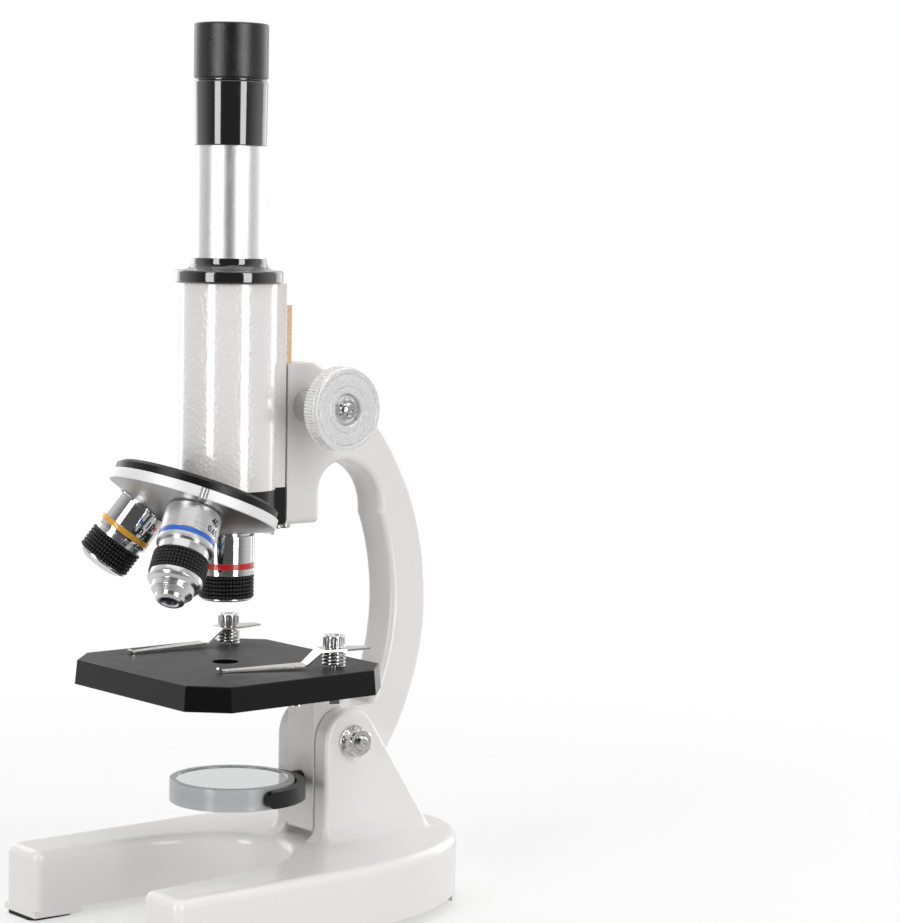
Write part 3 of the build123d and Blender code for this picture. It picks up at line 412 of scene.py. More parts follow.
def metal(name, shade, smooth, rough, marks, depth, **inputs):
    """Bare or plated metal: marks is the shared effect that breaks up its surface."""
    coat = Coat(name, Metallic=1.0)
    line = coat.effect(marks, **inputs)
    worn = coat.effect("Handling Marks", Patch=0.009)
    coat.tint(line["Value"], scaled(shade, 0.90), scaled(shade, 1.06))
    mixed = calc(coat.tree, "MULTIPLY_ADD", worn["Smudge"], 0.35,
                 calc(coat.tree, "MULTIPLY", line["Value"], 0.65))
    coat.roughen(mixed, smooth, rough)
    coat.bump(line["Height"], depth)
    return coat.material


def satin_aluminium(shades):
    return metal("satin_aluminium", scaled(shades.aluminium, 1.12), 0.28, 0.38, "Fine Grain", 0.00008,
                 Grain=0.00032)


def blasted_aluminium(shades):
    coat = Coat("blasted_aluminium", Metallic=0.45, Specular_IOR_Level=0.8)
    grain = coat.effect("Fine Grain", Grain=0.00042)
    worn = coat.effect("Handling Marks", Patch=0.008)
    coat.tint(grain["Value"], scaled(shades.aluminium, 1.0), scaled(shades.aluminium, 1.24))
    coat.roughen(worn["Smudge"], 0.26, 0.34)
    coat.bump(grain["Height"], 0.00006)
    return coat.material


def turned_aluminium(shades):
    return metal("turned_aluminium", scaled(shades.aluminium, 0.92), 0.24, 0.38, "Turning Marks",
                 0.00002, Spacing=0.00025)


def chrome(shades):
    return metal("chrome", shades.chrome, 0.05, 0.13, "Turning Marks", 0.000004, Spacing=0.0002)


def turret_aluminium(shades):
    """Sprayed metal paint under the cone, fine upright striations on the rim."""
    coat = Coat("turret_aluminium", Metallic=1.0)
    grain = coat.effect("Fine Grain", Grain=0.0005)
    worn = coat.effect("Handling Marks", Patch=0.012)
    parts = node(coat.tree, "ShaderNodeSeparateXYZ", {"Vector": coat.place}).outputs
    reach = calc(coat.tree, "SQRT", calc(coat.tree, "ADD",
                                         calc(coat.tree, "MULTIPLY", parts["X"], parts["X"]),
                                         calc(coat.tree, "MULTIPLY", parts["Y"], parts["Y"])))
    on_rim = spread(coat.tree, reach, 0.0349, 0.0352)
    strokes = noise(coat.tree, coat.place, 0.0006, 2.0, 0.7, (1, 1, 0.05))
    under = blend_colours(coat.tree, grain["Value"], rgba(shades.aluminium, 0.62),
                          rgba(shades.aluminium, 0.74))
    coat.feed("Base Color", blend_colours(coat.tree, on_rim, under, rgba(shades.aluminium, 1.1)))
    coat.feed("Metallic", calc(coat.tree, "MULTIPLY_ADD", on_rim, -0.7, 1.0))
    rough = calc(coat.tree, "MULTIPLY_ADD", worn["Smudge"], 0.08, 0.36)
    coat.feed("Roughness", calc(coat.tree, "MULTIPLY_ADD", on_rim, 0.12, rough))
    fine = calc(coat.tree, "MULTIPLY", grain["Height"], 0.5)
    coat.bump(calc(coat.tree, "MULTIPLY_ADD", calc(coat.tree, "MULTIPLY", strokes, on_rim), 1.0,
                   fine), 0.00008)
    return coat.material


def machined_steel(shades):
    return metal("machined_steel", scaled(shades.chrome, 1.08), 0.16, 0.26, "Turning Marks",
                 0.000012, Spacing=0.0003)


def zinc_steel(shades):
    return metal("zinc_steel", scaled(shades.zinc, 1.15), 0.13, 0.22, "Fine Grain", 0.000003,
                 Grain=0.0009)


def brass(shades):
    coat = Coat("brass", Metallic=0.45)
    grain = coat.effect("Fine Grain", Grain=0.0011)
    worn = coat.effect("Handling Marks", Patch=0.008)
    coat.tint(worn["Smudge"], shades.copper, scaled(shades.copper, 0.9))
    coat.roughen(grain["Value"], 0.26, 0.36)
    coat.bump(grain["Height"], 0.000008)
    return coat.material


def black_rubber(shades):
    coat = Coat("black_rubber", Specular_IOR_Level=0.3)
    grain = coat.effect("Fine Grain", Grain=0.0006)
    coat.tint(grain["Value"], shades.rubber, scaled(shades.rubber, 1.8))
    coat.roughen(grain["Value"], 0.62, 0.78)
    coat.bump(grain["Height"], 0.0001)
    return coat.material


def milky_plastic(shades):
    coat = Coat("milky_plastic", Transmission_Weight=0.3, IOR=1.46)
    worn = coat.effect("Handling Marks", Patch=0.006)
    peel = coat.effect("Orange Peel", Ripple=0.005, Fine=0.001, Nibs=0.0)
    coat.tint(peel["Tone"], scaled(shades.milky, 0.94), shades.milky)
    coat.roughen(worn["Smudge"], 0.16, 0.24)
    coat.bump(peel["Height"], 0.00001)
    return coat.material


def mirror_glass(shades):
    coat = Coat("mirror_glass", Metallic=1.0)
    worn = coat.effect("Handling Marks", Patch=0.012)
    coat.tint(worn["Dust"], (0.88, 0.90, 0.90), (0.70, 0.70, 0.70))
    coat.roughen(worn["Smudge"], 0.015, 0.05)
    return coat.material


def lens_glass(shades):
    coat = Coat("lens_glass", Transmission_Weight=1.0, IOR=1.62, Coat_Weight=1.0, Coat_IOR=1.9,
                Coat_Tint=(0.84, 0.82, 0.95, 1.0))
    worn = coat.effect("Handling Marks", Patch=0.004)
    coat.tint(worn["Dust"], (0.93, 0.95, 0.97), (0.85, 0.87, 0.88))
    coat.roughen(worn["Smudge"], 0.0, 0.02)
    return coat.material


def ring_enamel(name, shade):
    coat = Coat(name, Coat_Weight=0.5, Coat_Roughness=0.05)
    peel = coat.effect("Orange Peel", Ripple=0.0018, Fine=0.0006, Nibs=0.1)
    coat.tint(peel["Tone"], scaled(shade, 0.86), scaled(shade, 1.06))
    coat.roughen(peel["Tone"], 0.18, 0.30)
    coat.bump(peel["Height"], 0.00003)
    return coat.material


def red_enamel(shades):
    return ring_enamel("red_enamel", shades.red)


def yellow_enamel(shades):
    return ring_enamel("yellow_enamel", shades.yellow)


def blue_enamel(shades):
    return ring_enamel("blue_enamel", shades.blue)


def engraving(shades):
    coat = Coat("engraving", Specular_IOR_Level=0.3)
    grain = coat.effect("Fine Grain", Grain=0.0002)
    coat.tint(grain["Value"], (0.006, 0.006, 0.006), (0.02, 0.02, 0.02))
    coat.roughen(grain["Value"], 0.45, 0.6)
    return coat.material


RECIPES = {recipe.__name__: recipe for recipe in (
    white_enamel, tube_enamel, black_enamel, black_plastic, black_oxide, stage_enamel,
    matte_black_plastic, knurl_plastic, satin_aluminium, blasted_aluminium, turned_aluminium,
    turret_aluminium, chrome, machined_steel, zinc_steel, brass, black_rubber, milky_plastic,
    mirror_glass, lens_glass, red_enamel, yellow_enamel, blue_enamel, engraving)}


def finish(name):
    """The material of that name, made on first use."""
    if name not in bpy.data.materials or not bpy.data.materials[name].get("built"):
        made = RECIPES[name](sizes("finish_colours"))
        made["built"] = True
        made.name = name
        return made
    return bpy.data.materials[name]


def paint(name, *parts):
    """Gives CAD parts a finish."""
    for part in parts:
        mesh = frame["nodes"][part].data
        mesh.materials.clear()
        mesh.materials.append(finish(name))


# ---------------------------------------------------------------- shaping
def extent(part):
    """Lowest and highest corners of a CAD part in mm."""
    low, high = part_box(part)
    return Vector(low) / MM, Vector(high) / MM


def stand(origin, up=(0, 0, 1), across=(1, 0, 0)):
    """Where a piece stands: origin in mm, its z axis and roughly its x axis."""
    up = Vector(up).normalized()
    side = (Vector(across) - up * up.dot(Vector(across))).normalized()
    place = Matrix((side, up.cross(side), up)).transposed().to_4x4()
    place.translation = Vector(origin) * MM
    return place


def soften(outline, steps):
    """The outline with each corner given as (x, y, radius) rounded by an arc."""
    points = []
    for index, corner in enumerate(outline):
        here = Vector(corner[:2])
        radius = corner[2] if len(corner) > 2 else 0.0
        back = Vector(outline[index - 1][:2]) - here
        ahead = Vector(outline[(index + 1) % len(outline)][:2]) - here
        if radius <= 0.0:
            points.append(here)
            continue
        cut = min(radius / math.tan(back.angle(ahead) / 2), back.length * 0.49,
                  ahead.length * 0.49)
        start, end = here + back.normalized() * cut, here + ahead.normalized() * cut
        for step in range(steps + 1):
            t = step / steps
            points.append(start * (1 - t) ** 2 + here * 2 * t * (1 - t) + end * t * t)
    return points


def spun(outline, turns=128, steps=4, ripple=None):
    """A mesh turned from an outline of (radius, height, corner rounding) in mm."""
    mesh = bmesh.new()
    rings = []
    for point in soften(outline, steps):
        if point.x < 1e-6:
            rings.append([mesh.verts.new((0, 0, point.y * MM))])
            continue
        ring = []
        for turn in range(turns):
            angle = 2 * math.pi * turn / turns
            radius = ripple(point.x, point.y, angle) if ripple else point.x
            ring.append(mesh.verts.new((radius * MM * math.cos(angle),
                                        radius * MM * math.sin(angle), point.y * MM)))
        rings.append(ring)
    for ring, after in zip(rings, rings[1:] + rings[:1]):
        for turn in range(turns):
            corners = []
            for source, step in ((ring, turn), (ring, turn + 1), (after, turn + 1), (after, turn)):
                corner = source[step % len(source)]
                if corner not in corners:
                    corners.append(corner)
            if len(corners) > 2:
                mesh.faces.new(corners)
    bmesh.ops.recalc_face_normals(mesh, faces=mesh.faces)
    return mesh


def settle(name, mesh, place, body, slot, parts=(), look=None, crease=35.0):
    """Stands a finished mesh in place, on its body, in its finish, for its CAD parts."""
    data = bpy.data.meshes.new(name)
    mesh.to_mesh(data)
    mesh.free()
    data.shade_smooth()
    data.set_sharp_from_angle(angle=math.radians(crease))
    data.materials.append(finish(look or slot))
    piece = bpy.data.objects.new(name, data)
    bpy.context.scene.collection.objects.link(piece)
    piece.matrix_world = place
    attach(piece, body)
    if parts:
        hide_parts(*parts)
    return piece


def hexed(flats):
    """Ripple that trims a turned outline to a hexagon."""
    def trim(radius, height, angle):
        off = (math.degrees(angle) + 30.0) % 60.0 - 30.0
        return min(radius, flats / 2 / math.cos(math.radians(off)))
    return trim


def nut_outline(flats, height, bore):
    """Outline of a chamfered hexagon nut, from its seat up."""
    corner = flats / math.sqrt(3)
    bevel = (corner - flats / 2) * 0.62
    return [(bore, 0), (flats / 2, 0), (corner, bevel * 0.6), (corner, height - bevel),
            (flats / 2 * 0.97, height), (bore + 0.35, height), (bore, height - 0.35)]


def thread_outline(radius, low, high, pitch=0.5):
    """Outline of a screw end with a chamfered, centre-drilled tip, from axis to axis."""
    points = [(0, low)]
    count = int((high - low) / pitch) - 1
    for turn in range(count):
        at = low + turn * pitch
        points += [(radius - 0.22, at), (radius, at + pitch / 2)]
    points += [(radius - 0.22, low + count * pitch), (radius - 0.75, high), (0.9, high),
               (0.45, high - 0.4), (0, high - 0.4)]
    return points


def fluted(count, depth, low, high, sharp=1.0):
    """Ripple that cuts straight flutes between two heights."""
    def cut(radius, height, angle):
        if not low <= height <= high:
            return radius
        return radius - depth * max(0.0, math.cos(count * angle)) ** sharp
    return cut


# ---------------------------------------------------------------- enamelled castings and plain parts
def build_castings():
    """Finishes for the parts whose shape is the casting's or the strip's own."""
    paint("white_enamel", "base_casting", "arm_casting")
    paint("tube_enamel", "body_tube")
    paint("black_oxide", "mirror_fork", "nosepiece_carrier", "tube_baffle", "field_stop")
    paint("black_rubber", "foot_pads")
    paint("stage_enamel", "stage")
    paint("brass", "rack", "pinion_gear")
    paint("zinc_steel", "friction_washers", "stop_screw", "click_spring",
          "click_spring_screws", "stage_screws", "mirror_stem", "turret_pin", "stage_clip_left",
          "stage_clip_right")
    paint("turned_aluminium", "pinion_bushings", "eyepiece_insert")
    paint("chrome", "clip_spring_left", "clip_spring_right", "clip_retainers")
    paint("milky_plastic", "mirror_ring")
    paint("mirror_glass", "plane_mirror", "concave_mirror")
    paint("lens_glass", "eye_lens", "field_lens", "objective_4x_lens", "objective_10x_lens",
          "objective_40x_lens")


# ---------------------------------------------------------------- tube and eyepiece
def build_optics():
    """Collar, draw tube, eyepiece barrel and eyecup, turned about the optical axis."""
    want = sizes("optics_sizes")
    low, high = extent("draw_tube")
    axis = (low + high) / 2
    place = stand((axis.x, axis.y, 0))
    draw = (high.x - low.x) / 2
    insert_low, insert_high = extent("eyepiece_insert")
    bore = (insert_high.x - insert_low.x) / 2 + 0.05
    settle("draw_tube_turned", spun(
        [(bore, low.z, 0.3), (draw, low.z, 0.3), (draw, high.z - 1.0), (draw, high.z, 0.25),
         (bore, high.z, 0.25)], 160), place, "tube", "satin_aluminium", ("draw_tube",))

    low, high = extent("tube_collar")
    rim = (high.x - low.x) / 2
    seat = extent("body_tube")[1].z
    spigot = extent("body_tube")[1].x - 3.05
    top = seat + 5.4
    neck = draw + 0.85
    settle("tube_collar_turned", spun(
        [(draw + 0.02, low.z, 0.2), (spigot, low.z, 0.3), (spigot, seat), (rim, seat, 1.3),
         (rim, top, 1.3), (neck + 3.6, top), (neck + 1.15, top + 0.9, want.flare),
         (neck + 0.25, top + 2.6, want.flare), (neck, high.z, want.rim * 0.6),
         (draw + 0.02, high.z, 0.25)], 160, 8), place, "tube", "black_enamel", ("tube_collar",))

    low, high = extent("eyepiece_barrel")
    top = (high.x - low.x) / 2
    foot = top - 0.4
    lens_seat = extent("eye_lens")[1].x + 1.5
    lens_bore = extent("field_lens")[1].x
    settle("eyepiece_barrel_turned", spun(
        [(lens_bore, low.z, 0.2), (foot, low.z, want.rim), (foot + 0.1, low.z + 7),
         (top, high.z - 1.1, 0.4), (top - want.seam * 2, high.z - 0.35, 0.1),
         (top - want.seam * 2, high.z), (lens_seat, high.z), (lens_bore, high.z - 12)],
        160), place, "eyepiece", "black_plastic", ("eyepiece_barrel",))

    low, high = extent("eyecup")
    lens_top = extent("eye_lens")[1].z
    mouth = lens_seat + 1.0
    settle("eyecup_moulded", spun(
        [(lens_seat, low.z + 0.05), (top - want.seam * 2, low.z + 0.05),
         (top - want.seam * 2, low.z + want.seam), (top, low.z + 0.8, 0.3), (top, high.z, 0.9),
         (mouth, high.z, 0.7), (mouth - 0.7, high.z - 5, 1.0), (10.5, lens_top + 3, 1.0),
         (9.0, lens_top + 1.5, 0.5), (9.0, lens_top), (10.5, lens_top), (10.5, lens_top - 4),
         (lens_seat, lens_top - 4)], 160), place, "eyepiece", "matte_black_plastic", ("eyecup",))


# ---------------------------------------------------------------- focus knobs
def build_knobs():
    """Fluted focus knobs with their recessed hexagon nuts."""
    want = sizes("knob_sizes")
    centre = Vector(JOINTS["focus_knob_turn"]["pos_m"]) / MM
    shaft, recess, nut_flats, nut_height, thread_length = 3.0, 2.4, 8.2, 2.6, 4.4
    for hand, side in ((1, "right"), (-1, "left")):
        low, high = extent(f"focus_knob_{side}")
        inner = low.x if hand > 0 else high.x
        deep = high.x - low.x
        radius = (high.z - low.z) / 2
        place = stand((inner, centre.y, centre.z), (hand, 0, 0), (0, 1, 0))
        lip = deep - 1.5
        face, groove = deep - 0.15, 0.34
        outline = [
            (shaft, 0), (radius - 1.0, 0, 0.3), (radius, 0.7, 0.2), (radius, lip - 0.25),
            (radius, lip), (radius, deep - 0.6, 0.45), (radius - 0.9, deep, 0.4),
            (want.ring + groove + 0.25, deep, 0.1), (want.ring + groove, deep - 0.25),
            (want.ring, deep - 0.95), (want.ring - groove, face, 0.05),
            (want.hub + groove, face, 0.05), (want.hub, deep - 0.9),
            (want.hub - groove, face, 0.05),
            (7.1, face, 0.15), (6.6, deep - 0.7, 0.2), (6.3, deep - recess),
            (shaft, deep - recess)]
        cut = fluted(want.flutes, want.flute_depth, 0.5, lip - 0.1, 0.6)
        settle(f"focus_knob_{side}_fluted", spun(outline, 640, 3, cut), place, "focus_knobs",
               "satin_aluminium", (f"focus_knob_{side}",), "blasted_aluminium")
        seat = stand((inner + hand * (deep - recess), centre.y, centre.z), (hand, 0, 0), (0, 1, 0))
        settle(f"knob_nut_{side}", spun(nut_outline(nut_flats, nut_height, shaft), 72, 2,
                                        hexed(nut_flats)),
               seat, "focus_knobs", "zinc_steel", ("knob_nuts",) if hand > 0 else (), "chrome", 25)
    end = extent("pinion_shaft")[1].x
    thread = thread_outline(shaft - 0.02, end - thread_length, end)[1:]
    settle("pinion_shaft_threaded", spun(
        [(radius, -height) for radius, height in reversed(thread)] + thread, 64, 2),
        stand((0, centre.y, centre.z), (1, 0, 0), (0, 1, 0)), "focus_knobs", "zinc_steel",
        ("pinion_shaft",))


# ---------------------------------------------------------------- inclination pivot
def build_pivot():
    """Bolt, nut and washers that clamp the arm between the cheeks."""
    centre = Vector(JOINTS["inclination"]["pos_m"]) / MM
    low, high = extent("pivot_washers")
    nut_low, nut_high = extent("pivot_nut")
    bolt_low, bolt_high = extent("pivot_bolt")
    flats = min(nut_high.y - nut_low.y, nut_high.z - nut_low.z)
    washer, thick, head, bolt, thread_length = (high.z - low.z) / 2, 1.2, 5.0, 3.0, 9
    for hand, side, seat in ((1, "right", nut_low.x), (-1, "left", bolt_low.x + head)):
        place = stand((seat - hand * thick, centre.y, centre.z), (hand, 0, 0), (0, 1, 0))
        settle(f"pivot_washer_{side}", spun(
            [(3.05, 0), (washer, 0, 0.15), (washer, thick, 0.35), (3.05, thick, 0.1)], 96),
            place, "base", "zinc_steel", ("pivot_washers",) if hand > 0 else ())
        place = stand((seat, centre.y, centre.z), (hand, 0, 0), (0, 1, 0))
        bore = 3.02 if hand > 0 else 0.0
        outline = nut_outline(flats, head, bore)
        if hand < 0:
            outline = [(0, 0)] + outline[1:5] + [(0, 4.7)]
        settle(f"pivot_{'nut' if hand > 0 else 'head'}", spun(outline, 72, 2, hexed(flats)), place,
               "base", "zinc_steel", ("pivot_nut",) if hand > 0 else ("pivot_bolt",), crease=25)
    place = stand((bolt_low.x + head, centre.y, centre.z), (1, 0, 0), (0, 1, 0))
    reach = bolt_high.x - bolt_low.x - head
    settle("pivot_bolt_threaded", spun(
        [(0, 0), (bolt, 0)] + [(radius, height + reach - thread_length)
                               for radius, height in thread_outline(bolt, 0, thread_length)[1:]],
        48, 2),
        place, "base", "zinc_steel")


# ---------------------------------------------------------------- nosepiece
def grid_knurl(radius, low, high, spacing, depth):
    """A closed band of square studs."""
    columns = round(2 * math.pi * radius / spacing)
    rows = max(1, round((high - low) / spacing))
    fine = 6
    turns = columns * fine
    mesh = bmesh.new()

    def rise(u):
        edge = abs(u % 1.0 - 0.5) * 2.0
        return max(0.0, min(1.0, (1.0 - edge) * 2.4))

    rings = []
    inside = [(radius - depth - 0.9, high), (radius - depth - 0.9, low)]
    levels = [(high - (high - low) * step / (rows * fine), step / fine)
              for step in range(rows * fine + 1)]
    for height, v in levels:
        ring = []
        for turn in range(turns):
            angle = 2 * math.pi * turn / turns
            lift = min(rise(turn / fine), rise(v)) if 0 < v < rows else 0.0
            reach = (radius - depth + depth * lift) * MM
            ring.append(mesh.verts.new((reach * math.cos(angle), reach * math.sin(angle),
                                        height * MM)))
        rings.append(ring)
    for reach, height in reversed(inside):
        rings.append([mesh.verts.new((reach * MM * math.cos(2 * math.pi * turn / turns),
                                      reach * MM * math.sin(2 * math.pi * turn / turns),
                                      height * MM)) for turn in range(turns)])
    for ring, after in zip(rings, rings[1:] + rings[:1]):
        for turn in range(turns):
            ahead = (turn + 1) % turns
            mesh.faces.new((ring[turn], ring[ahead], after[ahead], after[turn]))
    bmesh.ops.recalc_face_normals(mesh, faces=mesh.faces)
    return mesh


def engrave(name, words, size, radius, turn, height, place, body):
    """Numerals laid round a barrel, filled in black."""
    curve = bpy.data.curves.new(name, "FONT")
    curve.body = words
    curve.size = size * MM
    curve.align_x = "CENTER"
    curve.align_y = "CENTER"
    curve.resolution_u = 4
    curve.offset = 0.00011
    writing = bpy.data.objects.new(name, curve)
    bpy.context.scene.collection.objects.link(writing)
    bpy.context.view_layer.update()
    data = bpy.data.meshes.new_from_object(
        writing.evaluated_get(bpy.context.evaluated_depsgraph_get()))
    bpy.data.objects.remove(writing)
    mesh = bmesh.new()
    mesh.from_mesh(data)
    bmesh.ops.triangulate(mesh, faces=mesh.faces)
    bmesh.ops.subdivide_edges(mesh, edges=mesh.edges, cuts=2, use_grid_fill=True)
    for corner in mesh.verts:
        angle = turn + corner.co.x / (radius * MM)
        reach = (radius + 0.012) * MM
        corner.co = Vector((reach * math.cos(angle), reach * math.sin(angle),
                            height * MM + corner.co.y))
    bmesh.ops.recalc_face_normals(mesh, faces=mesh.faces)
    for face in mesh.faces:
        middle = face.calc_center_median()
        if face.normal.dot(Vector((middle.x, middle.y, 0))) < 0:
            face.normal_flip()
    return settle(name, mesh, place, body, "black_enamel", look="engraving", crease=180)


# Each objective: turn about the nosepiece, colour of its ring, ring top and bottom, barrel end,
# grip top and bottom, rounding of the shoulder, nose as (radius, drop, rounding), barrel finish,
# engraving and the angle it is centred on. Drops are measured down from the shoulder in mm.
OBJECTIVES = {
    "objective_4x": (0, "red_enamel", (11.3, 13.7), 16.4, (16.4, 25.9), 0.3,
                     [(11.0, 25.9, 0.2), (11.0, 26.5, 0.3), (9.8, 27.0, 0.2)], "chrome",
                     ("4", "0.10"), 114),
    "objective_10x": (120, "yellow_enamel", (10.9, 13.1), 15.2, (17.2, 27.0), 0.3,
                      [(11.0, 27.0, 0.2), (11.0, 27.9, 0.3), (9.4, 28.6, 0.3),
                       (7.4, 29.7, 0.3), (6.2, 30.0, 0.2)], "chrome", ("10", "0.25"), -114),
    "objective_40x": (-120, "blue_enamel", (11.4, 13.6), 15.8, (20.0, 29.2), 4.6,
                      [(11.0, 29.2, 0.2), (11.0, 31.6, 0.35), (10.2, 32.5, 0.3),
                       (8.6, 33.4, 0.3), (8.4, 35.9, 0.3), (6.2, 38.0, 0.3),
                       (5.9, 39.4, 0.3), (4.9, 40.2, 0.25)], "turned_aluminium",
                      ("40", "0.65"), 136),
}


def build_nosepiece():
    """Turret and the three objectives with their colour rings, grips and numerals."""
    want = sizes("nosepiece_sizes")
    joint = JOINTS["nosepiece_turn"]
    apex = Vector(joint["pos_m"]) / MM
    up = Vector(joint["axis"]).normalized()
    lean = math.acos(up.z)
    place = stand(apex, up, (1, 0, 0))
    rim, rim_top, rim_low, wall, shoulder_drop = 35.3, -43.5, -47.5, 4.0, 57.5
    seat, seat_drop = shoulder_drop * math.sin(lean), shoulder_drop * math.cos(lean)

    def cone(radius, inset=0.0):
        return -(seat_drop + (seat - radius) * math.tan(lean) - inset / math.cos(lean))

    def notched(radius, height, angle):
        if radius < rim - 2:
            return radius
        off = (math.degrees(angle) - 90 + 60) % 120 - 60
        across = math.radians(off) * rim
        dent = want.notch ** 2 - across ** 2
        return min(radius, rim - math.sqrt(dent) * 0.8) if dent > 0 else radius

    settle("turret_turned", spun(
        [(3.1, rim_top), (7.0, rim_top), (7.0, cone(7.0, wall)), (rim - 2, cone(rim - 2, wall)),
         (rim - 2, rim_top), (rim, rim_top, 0.3), (rim, rim_low - 0.2, 0.6),
         (7.2, cone(7.2), 1.2), (3.1, cone(7.0), 0.2)], 720, 5, notched),
        place, "nosepiece", "turned_aluminium", ("turret",), "turret_aluminium")

    for name, spec in OBJECTIVES.items():
        turn, ring_look, ring, end, grip, shoulder, nose, look, words, reading = spec
        spin = Matrix.Rotation(math.radians(turn), 3, up)
        own_up = spin @ Vector((0, 0, 1))
        place = stand(apex - own_up * shoulder_drop, own_up, spin @ Vector((1, 0, 0)))
        sprung = name == "objective_40x"
        front_body = "sprung_nose" if sprung else "nosepiece"
        barrel, thread, thread_end, bore, socket = 11.5, 10.1, 4.6, 7.5, 6.4
        fit = 10.45 if sprung else 10.4
        band = (ring[1] + end) / 2
        settle(f"{name}_barrel_turned", spun(
            [(bore, -end + socket), (bore, thread_end), (thread, thread_end), (thread, 0),
             (barrel, 0, shoulder),
             (barrel, -ring[0] + 0.3), (barrel, -ring[0], 0.12), (barrel - 0.35, -ring[0]),
             (barrel - 0.35, -ring[1]), (barrel, -ring[1], 0.12), (barrel, -band - 0.35, 0.1),
             (barrel - 0.25, -band - 0.45), (barrel - 0.25, -band - 0.75),
             (barrel, -band - 0.85, 0.1), (barrel, -end, 0.3), (fit, -end), (fit, -end + socket)],
            128, 6), place, "nosepiece", look, (f"{name}_barrel",))
        settle(f"{name}_ring_painted", spun(
            [(barrel - 0.36, -ring[0] - 0.02), (barrel - 0.05, -ring[0] - 0.02, 0.12),
             (barrel - 0.05, -ring[1] + 0.02, 0.12), (barrel - 0.36, -ring[1] + 0.02)], 128),
            place, "nosepiece", ring_look, (f"{name}_ring",))
        settle(f"{name}_grip_knurled", grid_knurl(11.4, -grip[1] + 0.05, -grip[0] - 0.05,
                                                  want.knurl, want.knurl_depth),
               place, front_body, "black_plastic", (f"{name}_grip",), "knurl_plastic", 50)
        inside = 9.0
        tip_drop, tip = nose[-1][1], nose[-1][0]
        lens_radius = min(tip - 1.6, 7.5)
        outline = [(inside, 4 - end), (10.38, 4 - end, 0.2), (10.38, -grip[1])]
        outline += [(radius, -drop, *soft) for radius, drop, *soft in nose]
        outline += [(lens_radius + 0.5, -tip_drop, 0.2), (lens_radius, -tip_drop + 0.5),
                    (lens_radius, -grip[1] + 1.4), (inside, -grip[1] + 1.4)]
        settle(f"{name}_nose_turned", spun(outline, 128, 4), place, front_body, "chrome",
               (f"{name}_nose",), "machined_steel")
        for line, word in enumerate(words):
            engrave(f"{name}_engraving_{line}", word, want.numeral * (1.0, 0.86)[line], barrel,
                    math.radians(reading), -ring[0] / 2 + (1.0, -2.9)[line], place, "nosepiece")


# ---------------------------------------------------------------- stage clips
def build_clips():
    """Fluted heads of the posts that hold the stage clips."""
    want = sizes("stage_sizes")
    low, high = extent("clip_posts")
    for hand, side in ((1, "right"), (-1, "left")):
        joint = JOINTS[f"clip_{side}_swivel"]
        centre = Vector(joint["pos_m"]) / MM
        place = stand((centre.x, centre.y, centre.z))
        head, top, foot = 4.45, high.z - centre.z, 8.0
        cut = fluted(want.flutes, want.flute_depth, foot + 0.5, top - 0.9, 0.5)
        outline = [(0, low.z - centre.z), (1.6, low.z - centre.z, 0.2),
                   (1.98, low.z - centre.z + 0.5), (1.98, foot), (head - 0.4, foot, 0.1),
                   (head, foot + 0.45), (head, foot + 0.6), (head, top - 1.0), (head, top - 0.8),
                   (head, top - 0.3, 0.2), (head - 0.4, top, 0.2), (2.6, top, 0.2),
                   (2.3, top - 0.5, 0.2), (0, top - 0.5)]
        settle(f"clip_post_{side}", spun(outline, 18 * 12, 3, cut), place, "arm", "chrome",
               ("clip_posts",) if hand > 0 else ())


# ---------------------------------------------------------------- studio
def softbox(name, toward, height, width, tall, distance, power):
    """A soft rectangular light that faces the instrument from a compass direction."""
    lamp = bpy.data.lights.new(name, "AREA")
    lamp.shape = "RECTANGLE"
    lamp.size, lamp.size_y = width, tall
    lamp.energy = power
    light = bpy.data.objects.new(name, lamp)
    bpy.context.scene.collection.objects.link(light)
    spot = Vector((toward[0], toward[1], 0)).normalized() * distance
    spot.z = height
    aim = Vector((0, 0, min(0.25, height))) - spot
    light.location = spot
    light.rotation_euler = aim.to_track_quat("-Z", "Y").to_euler()
    return light


